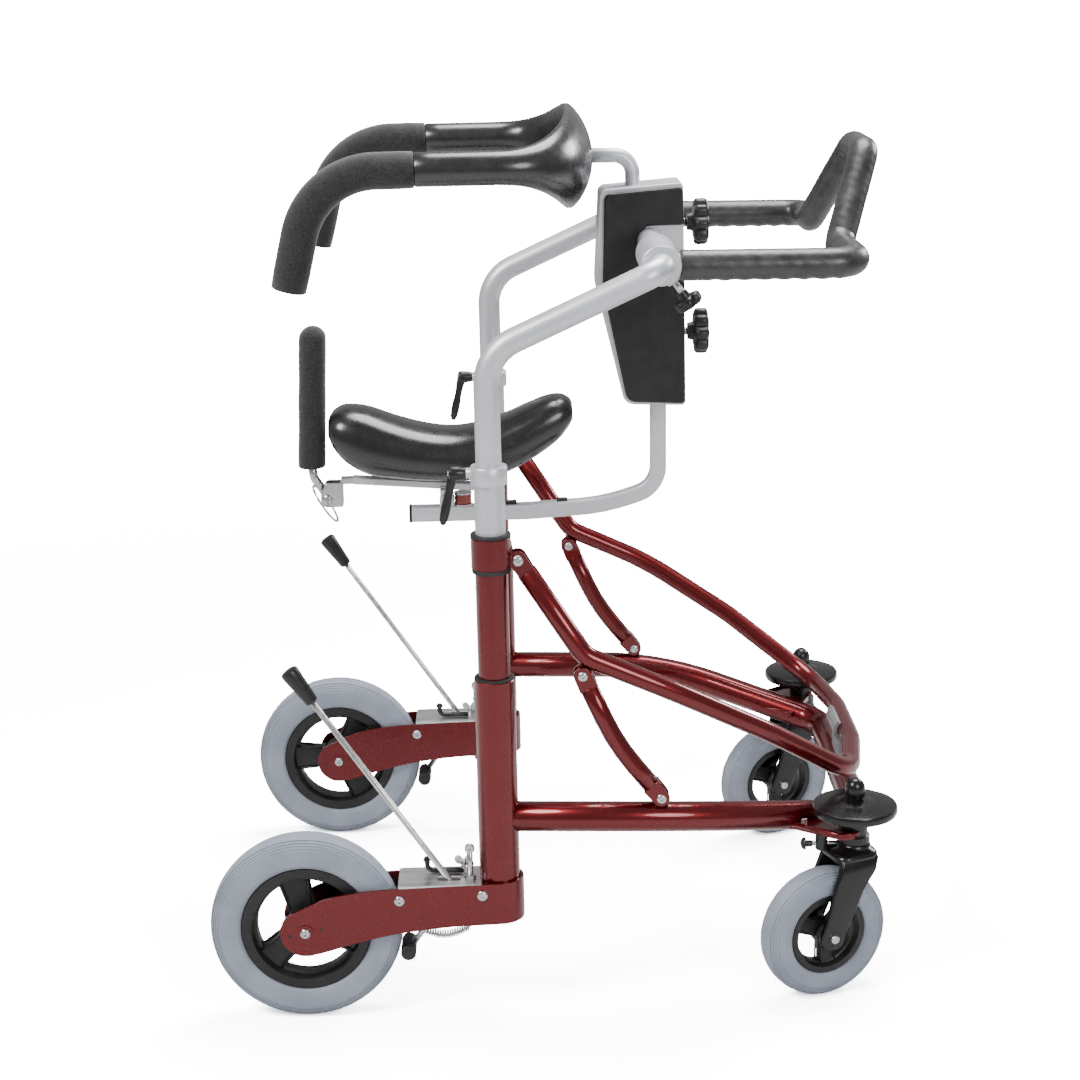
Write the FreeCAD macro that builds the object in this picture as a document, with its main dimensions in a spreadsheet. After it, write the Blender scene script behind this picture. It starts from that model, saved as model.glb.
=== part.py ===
import FreeCAD, Part
import math
import os
import Sketcher
from FreeCAD import Placement, Rotation, Vector

# Front wheeled walker, millimetres, +X forward, +Z up.  The origin is on the floor under the
# middle of the bounding box.  The walker's right side is at negative Y; most pieces of the left
# side are mirror images of those on the right.

DIMENSIONS = [
    ("axle_x", -323.0),             # rear axle, along X from the origin
    ("track_half", 303.0),          # middle plane of each rear wheel and column
    ("rear_tyre_radius", 125.0),
    ("rear_tyre_width", 46.0),
    ("rear_rim_radius", 87.0),
    ("front_tyre_radius", 87.5),
    ("front_tyre_width", 40.0),
    ("front_rim_radius", 54.0),
    ("axle_radius", 6.0),
    ("running_gap", 0.06),          # radial clearance of every shaft or sliding tube
    ("column_dx", 252.0),           # column, forward of the rear axle
    ("sleeve_radius", 26.0),
    ("sleeve_bore", 22.5),
    ("sleeve_base", 134.0),
    ("sleeve_top", 455.0),
    ("carriage_radius", 20.5),
    ("carriage_bore", 19.06),
    ("collar_radius", 25.0),
    ("collar_base", 600.0),
    ("collar_top", 640.0),
    ("inner_radius", 19.0),
    ("inner_top", 730.0),
    ("upper_radius", 16.0),
    ("tube_wall", 2.0),
    ("lower_radius", 19.5),
    ("bow_radius", 13.0),
    ("link_radius", 12.0),
    ("bolt_radius", 4.0),
    ("bolt_head_radius", 7.0),
    ("bolt_head_height", 5.0),
    ("fork_gap_half", 27.0),
    ("fork_plate", 4.0),
    ("caster_dx", 716.0),           # caster stem, forward of the rear axle
    ("caster_half", 268.0),
    ("caster_trail", 46.0),
    ("caster_yaw", 22.0),           # degrees that both casters are turned at rest
    ("stem_radius", 8.0),
    ("disc_radius", 55.0),
    ("disc_base", 245.0),
    ("disc_height", 14.0),
    ("console_half", 36.0),
    ("cover_thickness", 8.0),
    ("clamp_sleeve_radius", 25.0),
    ("clamp_sleeve_length", 112.0),
    ("handle_dx", 468.0),           # handlebar tilt axis
    ("handle_z", 966.0),
    ("grip_radius", 20.0),
    ("post_radius", 10.0),
    ("beam_width", 20.0),
    ("beam_height", 22.0),
    ("star_knob_radius", 31.0),
    ("small_knob_radius", 19.0),
    ("arm_foam_radius", 23.0),
    ("arm_half", 210.0),
    ("arm_z", 1082.0),
    ("rest_foam_radius", 18.5),
]

doc = FreeCAD.newDocument("walker")
sheet = doc.addObject("Spreadsheet::Sheet", "Sheet")
for row, (alias, number) in enumerate(DIMENSIONS, 1):
    sheet.set("A%d" % row, alias)
    sheet.set("B%d" % row, str(number))
    sheet.setAlias("B%d" % row, alias)
doc.recompute()


class Size:
    """A length together with its spreadsheet expression, so that sums stay bound to the sheet."""

    def __init__(self, number, text):
        self.number = number
        self.text = text

    def joined(self, sign, other, number):
        text = other.text if isinstance(other, Size) else repr(float(other))
        return Size(number, "(%s %s %s)" % (self.text, sign, text))

    def __add__(self, other):
        return self.joined("+", other, self.number + float(other))

    def __sub__(self, other):
        return self.joined("-", other, self.number - float(other))

    def __mul__(self, other):
        return self.joined("*", other, self.number * float(other))

    def __neg__(self):
        return self * -1.0

    __radd__ = __add__
    __rmul__ = __mul__

    def __float__(self):
        return self.number


class Sizes:
    """Every driving dimension by its alias."""


dim = Sizes()
for alias, number in DIMENSIONS:
    setattr(dim, alias, Size(float(sheet.get(alias)), "Sheet." + alias))


# ---------------------------------------------------------------- helpers

NODES = []
UP = (0, 0, 1)
ACROSS = (0, 1, 0)
FORWARD = (1, 0, 0)


def node(piece, label):
    """Register a document object as a sub-part."""
    piece.Label = label
    NODES.append(piece)
    return piece


def bind(piece, prop, size):
    if isinstance(size, Size):
        piece.setExpression(prop, size.text)
    else:
        setattr(piece, prop, size)


def place(piece, base, rotation=Rotation()):
    """Place a piece; coordinates given as sizes stay bound to the sheet."""
    piece.Placement = Placement(Vector(*[float(c) for c in base]), rotation)
    for letter, coordinate in zip("xyz", base):
        if isinstance(coordinate, Size):
            piece.setExpression("Placement.Base." + letter, coordinate.text)
    return piece


def towards(axis):
    return Rotation(Vector(*UP), Vector(*axis))


def x_of(forward):
    """X in the part's frame of a distance forward of the rear axle."""
    return dim.axle_x + forward


def point(forward, y, z):
    """A vector from a distance forward of the rear axle, a Y and a Z."""
    return Vector(float(x_of(forward)), float(y), float(z))


def cylinder(name, radius, height, base, axis=UP):
    piece = doc.addObject("Part::Cylinder", name)
    bind(piece, "Radius", radius)
    bind(piece, "Height", height)
    return place(piece, base, towards(axis))


def cone(name, start, end, height, base, axis=UP):
    piece = doc.addObject("Part::Cone", name)
    bind(piece, "Radius1", start)
    bind(piece, "Radius2", end)
    bind(piece, "Height", height)
    return place(piece, base, towards(axis))


def box(name, length, width, height, corner, rotation=Rotation()):
    piece = doc.addObject("Part::Box", name)
    bind(piece, "Length", length)
    bind(piece, "Width", width)
    bind(piece, "Height", height)
    return place(piece, corner, rotation)


def cut(name, base, *tools):
    piece = base
    for number, tool in enumerate(tools):
        step = doc.addObject("Part::Cut", "%s_cut%d" % (name, number))
        step.Base = piece
        step.Tool = tool
        piece = step
    return piece


def fuse(name, *shapes):
    piece = doc.addObject("Part::MultiFuse", name)
    piece.Shapes = list(shapes)
    return piece


def group(name, *pieces):
    piece = doc.addObject("Part::Compound", name)
    piece.Links = list(pieces)
    return piece


def mirror(name, source):
    """The same piece on the walker's other side."""
    piece = doc.addObject("Part::Mirroring", name)
    piece.Source = source
    piece.Normal = Vector(*ACROSS)
    return piece


def pair(name, source):
    return group(name, source, mirror(name + "_mirror", source))


def ring(name, outer, bore, height, base, axis=UP):
    return cut(name, cylinder(name + "_outer", outer, height, base, axis),
               cylinder(name + "_bore", bore, height, base, axis))


def rod(name, radius, start, end):
    """A round bar between two points."""
    run = end - start
    return cylinder(name, radius, run.Length, tuple(start), tuple(run))


def rounded_wire(points, radii):
    """Straight runs joined by tangent arcs; one radius for each inner point."""
    edges = []
    last = points[0]
    for before, corner, after, radius in zip(points, points[1:], points[2:], radii):
        into = (corner - before).normalize()
        out = (after - corner).normalize()
        turn = into.getAngle(out)
        reach = radius * math.tan(turn / 2)
        begin = corner - into * reach
        finish = corner + out * reach
        inward = (out - into).normalize()
        middle = corner + inward * (radius / math.cos(turn / 2) - radius)
        if (begin - last).Length > 1e-6:
            edges.append(Part.LineSegment(last, begin).toShape())
        edges.append(Part.Arc(begin, middle, finish).toShape())
        last = finish
    edges.append(Part.LineSegment(last, points[-1]).toShape())
    return Part.Wire(edges)


def bar(name, points, radii, radius):
    """A round bar swept along rounded runs."""
    path = doc.addObject("Part::Feature", name + "_path")
    path.Shape = rounded_wire(points, radii)
    section = doc.addObject("Part::Circle", name + "_section")
    bind(section, "Radius", radius)
    place(section, tuple(points[0]), towards(tuple(points[1] - points[0])))
    piece = doc.addObject("Part::Sweep", name)
    piece.Sections = [section]
    piece.Spine = (path, ["Edge%d" % (i + 1) for i in range(len(path.Shape.Edges))])
    piece.Solid = True
    return piece


def tube(name, points, radii, radius, wall):
    return cut(name, bar(name + "_outside", points, radii, radius),
               bar(name + "_inside", points, radii, radius - wall))


def origin_plane(body, role):
    return next(feature for feature in body.Origin.OriginFeatures if feature.Role == role)


def sketch(body, name, role, edges):
    drawing = body.newObject("Sketcher::SketchObject", name)
    drawing.AttachmentSupport = (origin_plane(body, role), [""])
    drawing.MapMode = "FlatFace"
    for edge in edges:
        drawing.addGeometry(edge, False)
    return drawing


def outline(corners):
    """Closed line segments through (u, v) corners."""
    closed = corners[1:] + corners[:1]
    return [Part.LineSegment(Vector(a[0], a[1], 0), Vector(b[0], b[1], 0))
            for a, b in zip(corners, closed)]


def rounded_outline(corners):
    """Closed outline of (u, v, corner radius) points as lines and arcs."""
    points = [Vector(u, v, 0) for u, v, radius in corners]
    count = len(points)
    arcs = []
    for i, (u, v, radius) in enumerate(corners):
        into = (points[i] - points[i - 1]).normalize()
        out = (points[(i + 1) % count] - points[i]).normalize()
        turn = into.getAngle(out)
        reach = radius * math.tan(turn / 2)
        inward = (out - into).normalize()
        arcs.append((points[i] - into * reach,
                     points[i] + inward * (radius / math.cos(turn / 2) - radius),
                     points[i] + out * reach))
    edges = []
    for i, (begin, middle, finish) in enumerate(arcs):
        edges.append(Part.Arc(begin, middle, finish))
        edges.append(Part.LineSegment(finish, arcs[(i + 1) % count][0]))
    return edges


def pad(name, edges, thickness, role="XZ_Plane", midplane=False):
    """A plate: a sketch padded by a thickness."""
    body = doc.addObject("PartDesign::Body", name)
    drawing = sketch(body, name + "_sketch", role, edges)
    feature = body.newObject("PartDesign::Pad", name + "_pad")
    feature.Profile = drawing
    bind(feature, "Length", thickness)
    feature.Midplane = midplane
    return body


def lathe(name, profile, base, axis=UP):
    """A turned piece: (radius, height) corners revolved about the local Z axis."""
    body = doc.addObject("PartDesign::Body", name)
    corners = [(float(radius), float(height)) for radius, height in profile]
    drawing = sketch(body, name + "_sketch", "XZ_Plane", outline(corners))
    for i in range(len(corners)):
        drawing.addConstraint(Sketcher.Constraint("Coincident", i, 2, (i + 1) % len(corners), 1))
    for i, (radius, height) in enumerate(profile):
        for kind, size in (("DistanceX", radius), ("DistanceY", height)):
            if isinstance(size, Size) and float(size) > 0:
                index = drawing.addConstraint(Sketcher.Constraint(kind, -1, 1, i, 1, float(size)))
                drawing.setExpression("Constraints[%d]" % index, size.text)
    feature = body.newObject("PartDesign::Revolution", name + "_turned")
    feature.Profile = drawing
    feature.ReferenceAxis = (drawing, ["V_Axis"])
    feature.Angle = 360.0
    return place(body, base, towards(axis))


# ---------------------------------------------------------------- driving places

column_x = x_of(dim.column_dx)
caster_x = x_of(dim.caster_dx)
right = -dim.track_half             # Y of the right-hand column and rear wheel
caster_right = -dim.caster_half
handle_x = x_of(dim.handle_dx)
bow_hinge = point(285, right, 610)
knee = point(363, right, 457)       # bow to link
foot = point(461, right, 289.5)       # link to lower frame
yaw = Rotation(Vector(*UP), float(dim.caster_yaw))


# ---------------------------------------------------------------- lower frame

def plan_plate(name, corners, z, thickness):
    """A flat plate from its plan outline."""
    return place(pad(name, rounded_outline(corners), thickness, "XY_Plane"), (0, 0, z))


def lower_frame():
    column = ring("column", dim.sleeve_radius, dim.sleeve_bore,
                  dim.sleeve_top - dim.sleeve_base, (column_x, right, dim.sleeve_base))
    node(pair("columns", column), "rear_columns")

    bush = lathe("bush", [(dim.carriage_radius + dim.running_gap, -32),
                          (dim.sleeve_bore, -32), (dim.sleeve_bore, 0),
                          (dim.sleeve_radius - 0.5, 0), (dim.sleeve_radius - 0.5, 2.5),
                          (dim.carriage_radius + dim.running_gap, 2.5)],
                 (column_x, right, dim.sleeve_top))
    node(pair("bushes", bush), "column_bushes")

    route = [point(262, right, 267), point(500, right, 260), point(735, -178, 205),
             point(735, 178, 205), point(500, dim.track_half, 260), point(262, dim.track_half, 267)]
    bends = [350, 50, 50, 350]
    horseshoe = tube("horseshoe", route, bends, dim.lower_radius, dim.tube_wall)
    lug = fuse("foot_lug", cylinder("foot_eye", 9, 8, tuple(foot - Vector(0, 4, 0)), ACROSS),
               box("foot_web", 18, 8, 22, tuple(foot + Vector(-9, -4, -22))))
    lugs = pair("foot_lugs", cut("foot_lug_bored", lug, cylinder(
        "foot_hole", dim.bolt_radius, 30, tuple(foot - Vector(0, 15, 0)), ACROSS)))
    frame = fuse("horseshoe_with_lugs", horseshoe, lugs)
    plugs = [cylinder("column_space_%d" % side, dim.sleeve_radius, 400,
                      (column_x, dim.track_half * side, 100)) for side in (-1, 1)]
    node(cut("lower_frame", frame, *plugs), "lower_frame_tube")

    arm = [(x_of(650).number, -232, 2), (x_of(709).number, -196, 2),
           (x_of(742).number, -250, 24), (x_of(730).number, -296, 22),
           (x_of(694).number, -292, 22), (x_of(638).number, -243, 4)]
    plate = plan_plate("arm_plate", arm, 216, 7)
    boss = cylinder("stem_boss", 17, dim.disc_base - 205, (caster_x, caster_right, 205))
    guide = cylinder("plunger_guide", 8, 17.5, (x_of(673), caster_right, 199.5))
    whole = cut("caster_arm", fuse("arm_parts", plate, boss, guide),
                cylinder("stem_hole", dim.stem_radius + dim.running_gap, 60,
                         (caster_x, caster_right, 195)),
                cylinder("plunger_hole", 3 + dim.running_gap, 60,
                         (x_of(640), caster_right, 203), FORWARD))
    frame_space = bar("arm_frame_space", route, bends, dim.lower_radius)
    node(pair("caster_arms", cut("arm_clear", whole, frame_space)), "caster_arms")

    disc = lathe("disc", [(0.0, 0), (dim.disc_radius - 2, 0), (dim.disc_radius, 2),
                          (dim.disc_radius, dim.disc_height - 3),
                          (dim.disc_radius - 3, dim.disc_height - 1),
                          (20, dim.disc_height + 2), (0.0, dim.disc_height + 2)],
                 (caster_x, caster_right, dim.disc_base))
    cap_base = dim.disc_base + dim.disc_height + 2
    cap = fuse("cap", cylinder("cap_collar", 12.5, 5, (caster_x, caster_right, cap_base)),
               cylinder("cap_groove", 11, 8, (caster_x, caster_right, cap_base)),
               cylinder("cap_barrel", 13, 12, (caster_x, caster_right, cap_base + 7)),
               dome("cap_dome", 13, (caster_x, caster_right, cap_base + 19)))
    node(group("discs", pair("disc_pair", disc), pair("cap_pair", cap)), "bumper_discs")

    clip = pad("clip_section", clip_outline(), 70, "XZ_Plane", True)
    node(clip, "bow_clip")


def dome(name, radius, base):
    """The upper half of a ball."""
    piece = doc.addObject("Part::Sphere", name)
    piece.Radius = radius
    piece.Angle1 = 0
    return place(piece, base)


def arc_through(centre, radius, start, finish):
    """Arc of a circle between two angles in degrees, counter-clockwise."""
    angles = (start, (start + finish) / 2, finish)
    return Part.Arc(*[centre + Vector(math.cos(math.radians(a)), math.sin(math.radians(a)), 0) * radius
                      for a in angles])


def clip_outline():
    """C-shaped snap clip, open forward and up, on a foot down to the front cross tube."""
    centre = Vector(x_of(741).number, 271, 0)
    bore = float(dim.bow_radius) + 0.5
    outer = bore + 4
    open_end, lip = 128, 338
    foot_start, foot_end = 235, 285
    tube_centre = Vector(x_of(735).number, 205, 0)
    inner = arc_through(centre, bore, open_end, lip)
    upper = arc_through(centre, outer, open_end, foot_start)
    lower = arc_through(centre, outer, foot_end, lip)
    reach = float(dim.lower_radius)
    seat = arc_through(tube_centre, reach, 65, 105)
    return [inner, Part.LineSegment(inner.value(inner.LastParameter), lower.value(lower.LastParameter)),
            lower, Part.LineSegment(lower.value(lower.FirstParameter), seat.value(seat.FirstParameter)),
            seat, Part.LineSegment(seat.value(seat.LastParameter), upper.value(upper.LastParameter)),
            upper, Part.LineSegment(upper.value(upper.FirstParameter), inner.value(inner.FirstParameter))]


# ---------------------------------------------------------------- rear forks and brakes

def fork_band():
    """Curved band: two cheeks from the axle eye that wrap round the front of the column."""
    eye = 32.5
    top = [(-22, 149), (-2, 158), (22, 169), (60, 177.5), (110, 182), (200, 185), (300, 187)]
    low = [(300, 131), (240, 130), (180, 127.5), (110, 119), (55, 106), (22, 96.5), (4, 92.6)]
    upper = Part.BSplineCurve()
    upper.interpolate([Vector(x_of(x).number, z, 0) for x, z in top])
    lower = Part.BSplineCurve()
    lower.interpolate([Vector(x_of(x).number, z, 0) for x, z in low])
    rear = Part.Arc(Vector(x_of(4).number, 92.6, 0), Vector(x_of(-eye).number, 122, 0),
                    Vector(x_of(-22).number, 149, 0))
    front = Part.LineSegment(Vector(x_of(300).number, 187, 0), Vector(x_of(300).number, 131, 0))
    profile = place(pad("band_profile", [upper, front, lower, rear], 200, "XZ_Plane", True),
                    (0, right, 0))
    gap, plate = dim.fork_gap_half, dim.fork_plate
    width = gap + plate
    nose = column_x
    outside = fuse("band_outside", box("band_block", 300, width * 2, 120, (x_of(-48), right - width, 80)),
                   cylinder("band_nose", width, 120, (nose, right, 80)))
    inside = fuse("band_inside", box("band_gap", 301, gap * 2, 120, (x_of(-49), right - gap, 80)),
                  cylinder("band_bend", gap, 120, (nose, right, 80)))
    wall = cut("band_wall", outside, inside)
    band = doc.addObject("Part::Common", "band")
    band.Base = profile
    band.Tool = wall
    holes = [cylinder("band_hole_%d" % i, radius, 90, (x_of(x), right - 45, z), ACROSS)
             for i, (radius, x, z) in enumerate([(dim.axle_radius, 0, 125), (2.2, -20, 121),
                                                 (2.2, 20, 129)])]
    return cut("fork_band", band, *holes)


def bolt(name, x, z, half, radius, length):
    """Button-head bolt through one outer cheek; its head faces outwards."""
    head = cylinder(name + "_head", dim.bolt_head_radius, dim.bolt_head_height * 0.7,
                    (x_of(x), right - half - dim.bolt_head_height * 0.7, z), ACROSS)
    shank = cylinder(name + "_shank", radius, length, (x_of(x), right - half, z), ACROSS)
    return fuse(name, head, shank)


CHEEK_BOLTS = [(131, 166.5), (229, 171)]    # forward of the axle, height


def rear_forks():
    node(pair("forks", fork_band()), "rear_forks")

    half = dim.fork_gap_half + dim.fork_plate
    plate = cut("plate_channel",
                box("plate_blank", 104, dim.fork_gap_half * 2, 34, (x_of(121), right - dim.fork_gap_half, 156)),
                box("plate_inside", 120, dim.fork_gap_half * 2 - 6, 30,
                    (x_of(115), right - dim.fork_gap_half + 3, 156)),
                *[cylinder("plate_hole_%d" % i, dim.bolt_radius, 80, (x_of(x), right - 40, z), ACROSS)
                  for i, (x, z) in enumerate(CHEEK_BOLTS + [(186, 165)])])
    slot = box("rod_slot", 30, 12, 20, (x_of(155), right - 15, 176))
    relief = cylinder("tyre_relief", dim.rear_tyre_radius + 3, 60, (dim.axle_x, right - 30, 125), ACROSS)
    column_space = cylinder("plate_column_space", dim.sleeve_radius, 60, (column_x, right, 150))
    node(pair("plates", cut("plate", plate, slot, relief, column_space)), "brake_plates")

    axle = fuse("axle_bolt", cylinder("axle_shaft", dim.axle_radius, half * 2, (dim.axle_x, right - half, 125),
                                      ACROSS),
                cylinder("axle_head", 9, 4, (dim.axle_x, right - half - 4, 125), ACROSS),
                cylinder("axle_nut", 9, 5, (dim.axle_x, right + half, 125), ACROSS))
    screws = [bolt("cheek_bolt_%d" % i, x, z, half, dim.bolt_radius, dim.fork_plate + 4)
              for i, (x, z) in enumerate(CHEEK_BOLTS)]
    inner_screws = [cylinder("inner_head_%d" % i, dim.bolt_head_radius, 4, (x_of(x), right + half, z), ACROSS)
                    for i, (x, z) in enumerate(CHEEK_BOLTS)]
    pivot = cylinder("brake_pivot", dim.bolt_radius, dim.fork_gap_half * 2, (x_of(186), right - dim.fork_gap_half, 165),
                     ACROSS)
    foot_bolt = cylinder("foot_bolt", dim.bolt_radius, 18, tuple(foot - Vector(0, 9, 0)), ACROSS)
    plate_screw = fuse("arm_screw", cylinder("arm_screw_head", 6.5, 5, (x_of(652), -240, 223)),
                       cylinder("arm_screw_shank", 3, 8, (x_of(652), -240, 215)))
    fasteners = [axle, pivot, foot_bolt, plate_screw] + screws + inner_screws
    node(pair("fasteners", group("fastener_set", *fasteners)), "frame_bolts")

    hook = fuse("drag_arm", box("drag_bar", 46, 5, 3, (x_of(156), right + 8, 190)),
                cylinder("drag_post", 4, 12, (x_of(158), right + 10.5, 190)),
                dome("drag_tip", 5, (x_of(158), right + 10.5, 202)))
    wing = fuse("wing_screw", cylinder("wing_stem", 4, 16, (x_of(205), right + 10.5, 190)),
                box("wing_blade", 18, 3, 8, (x_of(196), right + 9, 202)))
    eye = fuse("eye_bolt", cylinder("eye_nut", 7, 6, (x_of(214), right - 12, 190)),
               cylinder("eye_stem", 3, 38, (x_of(214), right - 12, 190)),
               cylinder("eye_ball", 5.5, 8, (x_of(214), right - 16, 230), ACROSS))
    spring = cylinder("return_spring", 5.5, 50, (x_of(158), right + 12, 108), FORWARD)
    anchor = fuse("spring_anchor", box("anchor_web", 4, 20, 82, (x_of(208), right + 2, 104)),
                  box("anchor_flange", 10, 20, 4, (x_of(199), right + 2, 182)))
    node(pair("hardware", group("hardware_set", hook, wing, eye, spring, anchor)), "brake_hardware")


def brake(side, mirrored):
    """Hand lever with a rubber shoe that bears on the tyre."""
    y = right - 9
    pivot, tip = point(186, y, 165), point(-6, y, 474)
    shoe = point(131, y, 88)
    along = (tip - pivot).normalize()
    knob_start = tip - along * 50
    boss = ring("brake_boss", 9, dim.bolt_radius + dim.running_gap, 8, tuple(pivot - Vector(0, 4, 0)), ACROSS)
    lever = rod("brake_bar", 4, pivot + along * 8, knob_start + along * 20)
    run = (shoe - pivot).normalize()
    web = rod("brake_web", 4, pivot + run * 8, shoe - run * 2)
    stud = cylinder("shoe_stud", 4, 44, tuple(shoe - Vector(0, 13, 0)), ACROSS)
    pieces = {"brake_rod": fuse("brake_rod_parts", boss, lever, web, stud)}
    pieces["brake_knob"] = cut("knob_bored", cone("knob_cone", 8.5, 12, 50, tuple(knob_start), tuple(along)),
                               cylinder("knob_bore", 4, 20, tuple(knob_start), tuple(along)))
    pieces["brake_shoe"] = ring("shoe_tube", 10, 4, 44, tuple(shoe - Vector(0, 13, 0)), ACROSS)
    for name, piece in pieces.items():
        node(mirror(name + "_mirror", piece) if mirrored else piece, "%s_%s" % (name, side))


# ---------------------------------------------------------------- wheels and casters

def tyre(name, radius, rim, width, base, axis):
    half = width * 0.5
    return lathe(name, [(rim, -width * 0.42), (radius - 12, -half), (radius - 5, -width * 0.40),
                        (radius, -width * 0.2), (radius, width * 0.2), (radius - 5, width * 0.40),
                        (radius - 12, half), (rim, width * 0.42)], base, axis)


def rim(name, radius, width, bore, hub, windows, base, axis):
    """Moulded rim: deep outer ring, thin web, hub, and rounded windows between the spokes."""
    half, web = width * 0.42, 5
    profile = [(bore, -half - 2), (hub, -half - 2), (hub, -web), (radius - 12, -web),
               (radius - 12, -half), (radius, -half), (radius, half), (radius - 12, half),
               (radius - 12, web), (hub, web), (hub, half + 2), (bore, half + 2)]
    disc = lathe(name + "_turned", profile, (0, 0, 0))
    slots = []
    inner, outer = float(hub) + 4, float(radius) - 16
    span = 360.0 / windows - 42
    for i in range(windows):
        start = 360.0 / windows * i
        arc = [arc_through(Vector(0, 0, 0), inner, start, start + span),
               arc_through(Vector(0, 0, 0), outer, start, start + span)]
        ends = [(a.value(a.FirstParameter), a.value(a.LastParameter)) for a in arc]
        edges = arc + [Part.LineSegment(ends[0][0], ends[1][0]), Part.LineSegment(ends[0][1], ends[1][1])]
        slots.append(pad("%s_window_%d" % (name, i), edges, 80, "XY_Plane", True))
    return place(cut(name + "_windowed", disc, *slots), base, towards(axis))


def rear_wheel(side, y):
    base = (dim.axle_x, y, dim.rear_tyre_radius)
    node(tyre("rear_tyre", dim.rear_tyre_radius, dim.rear_rim_radius, dim.rear_tyre_width, base, ACROSS),
         "rear_tyre_" + side)
    node(rim("rear_rim", dim.rear_rim_radius, dim.rear_tyre_width, dim.axle_radius + dim.running_gap, 24, 3,
             base, ACROSS), "rear_rim_" + side)


def caster(side, y):
    """Fork, wheel and lock plunger of one front caster, turned by the caster yaw about its stem."""
    trail = -dim.caster_trail
    gap, leg = 25, 7
    leg_edges = rounded_outline([(17, 199, 6), (20, 186, 10), (-10, 142, 80), (-29, 94, 20),
                                 (-33, 73, 12), (-65, 73, 14), (-67, 98, 20), (-44, 148, 80),
                                 (-33, 186, 20), (-30, 199, 6)])
    legs = [place(pad("leg_%d" % i, leg_edges, leg), (0, offset, 0))
            for i, offset in enumerate((-gap, gap + leg))]
    crown = box("crown", 47, (gap + leg) * 2, 15, (-30, -gap - leg, 184))
    neck = cylinder("neck", 18, 12, (0, 0, 192))
    stem = cylinder("stem", dim.stem_radius, dim.disc_base - 204, (0, 0, 203.5))
    axle_hole = cylinder("axle_hole", dim.axle_radius, 80, (trail, -40, dim.front_tyre_radius), ACROSS)
    fork = cut("fork", fuse("fork_parts", crown, neck, stem, *legs), axle_hole)
    axle = fuse("caster_axle", cylinder("axle_rod", dim.axle_radius, 64, (trail, -32, dim.front_tyre_radius),
                                        ACROSS),
                cylinder("axle_cap", 8, 4, (trail, -36, dim.front_tyre_radius), ACROSS),
                cylinder("axle_lock", 8, 5, (trail, 32, dim.front_tyre_radius), ACROSS))
    node(place(group("caster_fork", fork, axle), (caster_x, y, 0), yaw), "caster_fork_" + side)

    hub = point(dim.caster_dx, y, dim.front_tyre_radius) + yaw.multVec(Vector(float(trail), 0, 0))
    across = tuple(yaw.multVec(Vector(*ACROSS)))
    node(tyre("front_tyre", dim.front_tyre_radius, dim.front_rim_radius, dim.front_tyre_width, tuple(hub),
              across), "front_tyre_" + side)
    node(rim("front_rim", dim.front_rim_radius, dim.front_tyre_width, dim.axle_radius + dim.running_gap, 17, 3,
             tuple(hub), across), "front_rim_" + side)

    plunger = fuse("plunger", cylinder("plunger_pin", 3, 44, (x_of(651.5), y, 203), FORWARD),
                   cylinder("plunger_head", 8, 5, (x_of(646.5), y, 203), FORWARD))
    node(plunger, "lock_plunger_" + side)


# ---------------------------------------------------------------- lifting carriage

def carriage():
    height = dim.collar_base + 12 - 330
    node(pair("carriage_pair", ring("carriage_tube", dim.carriage_radius, dim.carriage_bore, height,
                                    (column_x, right, 330))), "carriage_tubes")

    collar = lathe("collar", [(dim.carriage_radius, 0), (dim.collar_radius, 0), (dim.collar_radius, 40),
                              (dim.inner_radius + dim.running_gap, 40),
                              (dim.inner_radius + dim.running_gap, 12), (dim.carriage_radius, 12)],
                   (column_x, right, dim.collar_base))
    tongue = fuse("tongue", cylinder("tongue_eye", 10, 10, tuple(bow_hinge - Vector(0, 5, 0)), ACROSS),
                  box("tongue_web", 18, 10, 16, tuple(bow_hinge + Vector(-17, -5, -8))))
    bored = cut("tongue_bored", tongue,
                cylinder("hinge_hole", dim.bolt_radius + dim.running_gap, 30,
                         tuple(bow_hinge - Vector(0, 15, 0)), ACROSS),
                cylinder("collar_space", dim.collar_radius - 2, 60, (column_x, right, 590)))
    lever_screw = cylinder("collar_screw", 4, 6, (x_of(275), right, 630), FORWARD)
    relief = [cylinder("cheek_relief_%d" % i, 12.5, 10, tuple(bow_hinge + Vector(0, offset, 0)), ACROSS)
              for i, offset in enumerate((-15.02, 5.02))]
    node(pair("collars", cut("collar_whole", fuse("collar_solid", collar, bored, lever_screw), *relief)),
         "upper_collars")

    rings = group("ring_set",
                  ring("lower_ring", dim.collar_radius - 0.8, dim.carriage_radius, 5,
                       (column_x, right, dim.collar_base - 5)),
                  ring("upper_ring", dim.collar_radius + 0.4, dim.inner_radius + dim.running_gap, 4,
                       (column_x, right, dim.collar_top)))
    node(pair("rings", rings), "collar_rings")


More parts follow.
